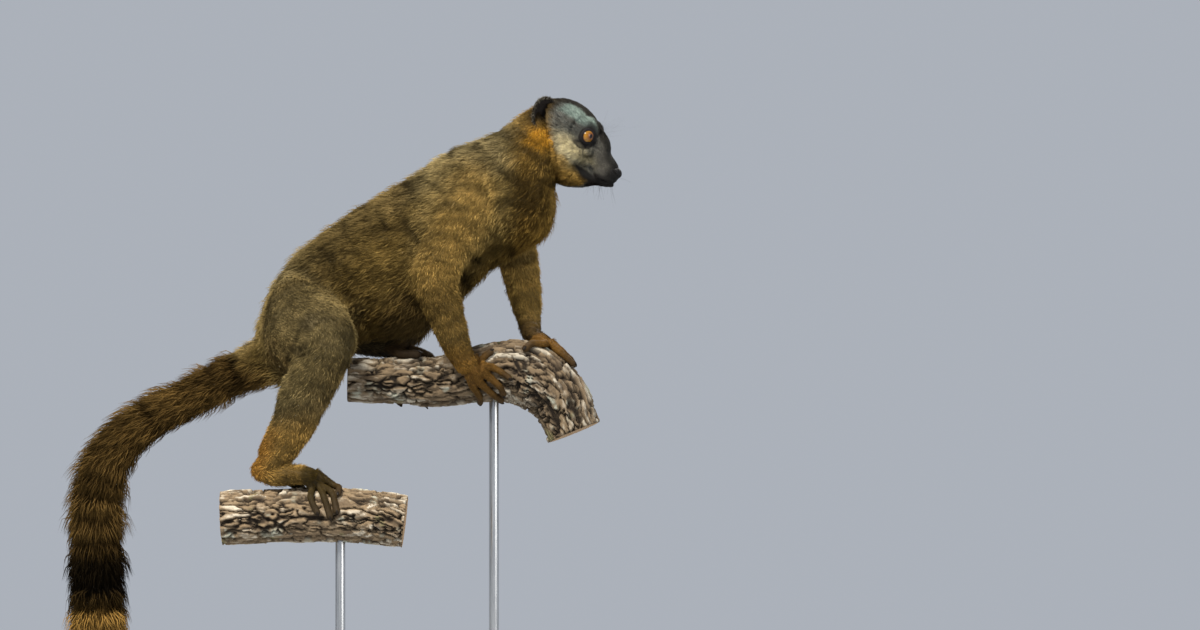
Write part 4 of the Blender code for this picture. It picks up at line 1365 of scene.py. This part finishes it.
def make_body_coat(surface):
    """Fur of body, limbs and tail: long bent tufts over short straight ones."""
    _, _, weights = body_field(surface.centres)
    furred = (head_share(surface.centres) < 0.5) * (grip_share(surface.centres)[0] < 0.4)
    owner = np.argmax(weights, 0)
    for number, (name, (long_count, short_count, length, width, lift, slot)) in enumerate(COAT.items()):
        for bent, kind, count, parts in (
            (True, "long", long_count, 1),
            (False, "short", short_count, 2 if name == "trunk" else 1),
        ):
            roots, normals = surface.sow(count, (owner == number) * furred)
            lies, depths, shares = body_field(roots)
            unwrap = unwrap_by_route(roots, ROUTES[name])
            ripple, streak = ripples(roots, unwrap[:, 1] * ROUTES[name].along[-1])
            # The ripples paint shade in the partings and a dapple of painted light and shade over the coat;
            # the streaks are the locks' own tone.
            tone = (1.12 + 0.4 * ripple - 0.45 * between(-0.1, -0.65, ripple)) * (1 + 0.36 * streak)
            colours = body_colours(roots, normals, shares) * tone[:, None]
            reach = (length if bent else length * 0.78) * np.clip(depths / 10, 0.52, 1.4)
            reach *= 1 + 0.2 * ripple + 0.9 * hanging(roots, normals)
            loose = 1 + 0.5 * head_share(roots) + 0.6 * ripple + 0.3 * noise(roots, 9, 55)
            raised = (lift if bent else lift * 0.85) * loose
            values = (roots, normals, lies, reach, np.full(count, width if bent else width * 0.95), raised)
            for part, at in enumerate(np.array_split(np.argsort(unwrap[:, 1]), parts), 1):
                chosen = [rows[at] for rows in (*values, colours, unwrap)]
                style = (True, (7, 0.45), (0.55, 1.2)) if bent else (False, (5, 0.22), (0.55, 1.3))
                grow(f"coat_{name}_{kind}_{part}", slot, *chosen, *style)


HEAD_AXIS = Route([(48, 0, -18, 8), (20, 0, -14, 14), (-20, 0, -8, 25), (-70, 0, -12, 25)], 3)


def head_lie(local):
    """The lie of the hair on the head: back from the nose, parting round the eyes."""
    lie = unit(local - (50, 0, -12))
    for side in (1, -1):
        offset = local - EYE_AT * (1, side, 1)
        distance = np.linalg.norm(offset, axis=1)
        lie = lie + unit(offset) * (1.4 * hump(distance - 8, 4.5))[:, None]
    cheek = between(-5, -25, local[:, 2]) * between(20, 0, local[:, 0])
    return unit(lie + np.array([0, 0, -0.5]) * cheek[:, None])


def hair_lengths(local):
    """Lengths of the head's hair, in millimetres."""
    u, w, v = local.T
    length = 5.5 + 4.0 * between(-14, -38, u) * between(10, -4, v)
    length = length + 4.0 * between(-20, -38, v) * between(20, -2, u)
    length = length - 3.6 * between(-2, 24, u) * between(-38, -30, v)
    from_eye = np.linalg.norm(np.stack([u, np.abs(w), v], 1) - EYE_AT, axis=1)
    length = length * (0.35 + 0.65 * between(10, 17, from_eye))
    return np.maximum(1.2, length * (0.25 + 0.75 * between(1.5, 9, from_mouth(local)[0])))


def make_head_coat(surface):
    """Fur of the head: short hair in front, longer tufts on crown, cheeks and beard."""
    local = to_head(surface.centres)
    nose_size = (7.4, 8.6, 6.3)
    nose_gap = np.linalg.norm((local - NOSE_AT) / nose_size, axis=1) < 1
    lengths = hair_lengths(local)
    furred = (head_share(surface.centres) > 0.35) * (around_eyes(local) >= 1.3) * (1 - nose_gap)
    furred = furred * (from_mouth(local)[0] > 1.2)
    for kind, count, width, mask, bent, clumps in (
        ("short", 34000, 0.58, lengths <= 6.5, False, (2.2, 0.3)),
        ("long", 12000, 0.8, lengths > 5.5, True, (4, 0.4)),
    ):
        roots, normals = surface.sow(count, mask * furred)
        place = to_head(roots)
        reach = hair_lengths(place)
        lift = 0.2 + 0.035 * reach + 0.15 * between(-30, -42, place[:, 2]) + 0.35 * (1 - head_share(roots))
        wide = np.clip(reach * 0.12, width * 0.6, width * 1.2)
        grow("coat_head_" + kind, "face_fur", roots, normals, head_lie(place) @ HEAD_FRAME[:3, :3].T, reach,
             wide, lift, all_colours(roots, normals), unwrap_by_route(place, HEAD_AXIS), bent, clumps,
             (0.55, 1.3))


HAND_PATHS = {
    name: [Route([row[:4] for row in palm], 4)] + [Route(rows[:, :4], 1) for rows in DIGITS[name]]
    for name, (palm, _) in EXTREMITIES.items()
}


def grip_share(points):
    """1 on hands and feet, the lie of their hair, how far along its part a point is, and 1 on a digit."""
    share, far, digit = np.zeros((3, len(points)))
    lie = np.zeros((len(points), 3))
    best = np.full(len(points), 9.0)
    for paths in HAND_PATHS.values():
        for number, path in enumerate(paths):
            distance, along, rows, ahead = path.near(points)
            relative = distance / (rows[:, 3] + 1.5)
            here = relative < best
            best = np.where(here, relative, best)
            lie[here] = ahead[here]
            on = between(1.6, 1.1, relative)
            if number == 0:
                on = on * between(path.along[-1] - 10, path.along[-1], along)
            share = np.where(here, on, share)
            far = np.where(here, along / path.along[-1], far)
            digit = np.where(here, float(number > 0), digit)
    return share, lie, far, digit


def facing_branch(points, normals):
    """1 where the skin faces the branch it grips, -1 where it faces away."""
    best = np.full(len(points), np.inf)
    facing = np.zeros(len(points))
    for stations in (PERCH_UPPER, PERCH_LOWER):
        distance, _, rows, _ = Route(stations, 4).near(points)
        towards = (unit(rows[:, :3] - points) * normals).sum(1)
        facing = np.where(distance < best, towards, facing)
        best = np.minimum(best, distance)
    return facing


def in_shade(points):
    """1 on the far hand and far foot, which are darkened with painted shade."""
    left_foot = between(70, 60, points[:, 0]) * between(430, 450, points[:, 2])
    return np.maximum(between(0, 12, points[:, 1]), left_foot)


def on_near_foot(points):
    """1 on the near foot, which is greyer than the hands."""
    return between(-30, -60, points[:, 0])


def digit_colours(points, far, digit):
    """Bare skin of hands and feet: grey-brown, darker to the tips, with painted shade on the far hand and far
    foot.
    """
    colour = coloured(
        len(points), (0.11, 0.054, 0.01),
        ((0.042, 0.028, 0.009), on_near_foot(points)),
        # Painted shade on the far hand and far foot.
        ((0.022, 0.015, 0.009), in_shade(points) * 0.85),
        ((0.035, 0.023, 0.012), between(0.5, 0.95, far) * digit * 0.7),
    )
    return colour * (0.85 + 0.3 * rough_noise(points, 2.5, 3, 71))[:, None]


def make_grip_coat(surface):
    """Short hair on the backs of hands and feet, thinning along the digits."""
    grip, _, far, digit = grip_share(surface.centres)
    facing = facing_branch(surface.centres, surface.normals[surface.faces[:, 0]])
    weight = (grip > 0.25) * between(0.5, 0.0, facing) * (1 - digit * between(0.72, 0.98, far))
    roots, normals = surface.sow(16000, weight)
    _, lie, far, digit = grip_share(roots)
    colours = coloured(
        len(roots), (0.24, 0.125, 0.03),
        ((0.085, 0.056, 0.015), on_near_foot(roots)),
        ((0.06, 0.038, 0.011), digit * between(0.2, 0.9, far) * 0.8),
        # Painted shade on the hair of the far hand and far foot.
        ((0.04, 0.028, 0.015), in_shade(roots) * 0.9),
    )
    unwrap = np.stack([cell_values(np.floor(roots / 6).astype(np.int64), 9), far], 1)
    grow("coat_hands_and_feet", "limb_fur", roots, normals, lie, 4.6 - 2.4 * digit * between(0, 0.7, far),
         0.55, 0.28, colours, unwrap, False, (2, 0.25), (0.5, 1.4))


def make_ears():
    """The ears, hairy on the back and fringed round the rim."""
    sides = {"ear_left": 1, "ear_right": -1}
    cups = {name: ear_cup(name, side) for name, side in sides.items()}
    for name, thing in cups.items():
        at_ear = ear_frame(sides[name])
        turn = at_ear[:3, :3]
        surface = Surface(thing)
        local = into(at_ear, to_head(surface.centres))
        edge = np.linalg.norm(local[:, 1:] / EAR_SIZE[1:], axis=1)
        ways = (surface.normals[surface.faces[:, 0]] @ HEAD_FRAME[:3, :3]) @ turn
        roots, normals = surface.sow(2600, (ways[:, 0] < 0.1) * 1.0 + (edge > 0.86) * 2.5 + 0.06)
        local = into(at_ear, to_head(roots))
        edge = np.linalg.norm(local[:, 1:] / EAR_SIZE[1:], axis=1)
        lie = unit(unit(local * (0, 1, 1)) + np.array([0.3, 0, 0])) @ turn.T @ HEAD_FRAME[:3, :3].T
        pale_tips = between(0.75, 1.0, edge) * (rng.random(len(roots)) < 0.35)
        colours = coloured(len(roots), (0.026, 0.021, 0.016), ((0.16, 0.15, 0.12), pale_tips))
        unwrap = np.stack([np.arctan2(local[:, 1], local[:, 2]) / TURN + 0.5, np.clip(edge, 0, 1)], 1)
        grow("coat_" + name, "face_fur", roots, normals, lie, 2.4 + 2.0 * between(0.6, 1.0, edge),
             0.42, 0.35, colours, unwrap, True, (3, 0.3), (0.7, 1.3))
        paint(thing, coloured(len(thing.data.vertices), (0.02, 0.016, 0.014)))
        in_place(thing, SKIN, "face_fur", name)


def make_skin():
    """The one skin, painted with the coat's markings, darker where it shows between the hairs: painted shade
    deep in the coat, with its darker underfur.
    """
    under_hair = 0.42
    pieces = [head_skin()] + [extremity_skin(name) for name in EXTREMITIES]
    thing = unite(body_skin(), *pieces)
    points = vertices(thing)
    lids = between(1.5, 1.25, around_eyes(to_head(points))) * head_share(points)
    colours = layered(all_colours(points, vertex_normals(thing)) * under_hair, ((0.014, 0.012, 0.013), lids))
    share, _, far, digit = grip_share(points)
    grip = share[:, None]
    paint(thing, colours * (1 - grip) + digit_colours(points, far, digit) * grip)
    return thing


# ---------------- the whole


def stage():
    """A plain pale floor."""
    bm = bmesh.new()
    bmesh.ops.create_circle(bm, cap_ends=True, segments=128, radius=4)
    thing = as_object(bm, "floor")
    made, _, _ = new_material("floor", {"Roughness": 0.9, "Base Color": (0.42, 0.44, 0.46, 1)})
    thing.data.materials.append(made)


def light(name, place, size, power, colour):
    """A soft square light, aimed at the middle of the animal."""
    data = bpy.data.lights.new(name, "AREA")
    data.size = size
    data.energy = power
    data.color = colour
    lamp = add_object(name, data)
    lamp.location = place
    lamp.visible_camera = False
    lamp.rotation_euler = (Vector((0, 0, 0.5)) - Vector(place)).to_track_quat("-Z", "Y").to_euler()


def studio():
    """Camera, lights and world."""
    data = bpy.data.cameras.new("camera")
    data.lens = 420
    data.sensor_width = 36
    away = 14.0  # far off, as the photo's long lens was
    camera = add_object("camera", data)
    camera.location = (0.21, MIDLINE[1] * MM - away, 0.525)
    camera.rotation_euler = (math.radians(90), 0, 0)
    scene = bpy.context.scene
    scene.camera = camera
    light("key", (-1.0, -1.8, 2.9), 0.9, 175, (1, 0.94, 0.84))
    light("fill", (2.4, -2.0, 1.3), 1.8, 30, (1, 0.97, 0.92))
    light("rim", (0.9, 1.6, 2.2), 1.0, 42, (1, 0.96, 0.9))
    scene.world = bpy.data.worlds.new("world")
    scene.world.use_nodes = True
    background = scene.world.node_tree.nodes["Background"]
    background.inputs["Color"].default_value = (0.82, 0.88, 0.98, 1)
    background.inputs["Strength"].default_value = 0.5
    scene.view_settings.view_transform = "Standard"


def main():
    """Builds every piece."""
    stage()
    studio()
    stand()
    # Painted light: the lower branch's bark paler, the upper's a little darker.
    branch("perch_upper", PERCH_UPPER, 0.95)
    branch("perch_lower", PERCH_LOWER, 1.3)
    skin = make_skin()
    surface = Surface(skin)
    make_body_coat(surface)
    make_head_coat(surface)
    make_grip_coat(surface)
    make_ears()
    in_place(skin, SKIN, "body_fur", *(node for node in FLESH_NODES if not node.startswith("ear")))
    eyeballs()
    lid_rims()
    nose()
    nails()
    whiskers()


main()
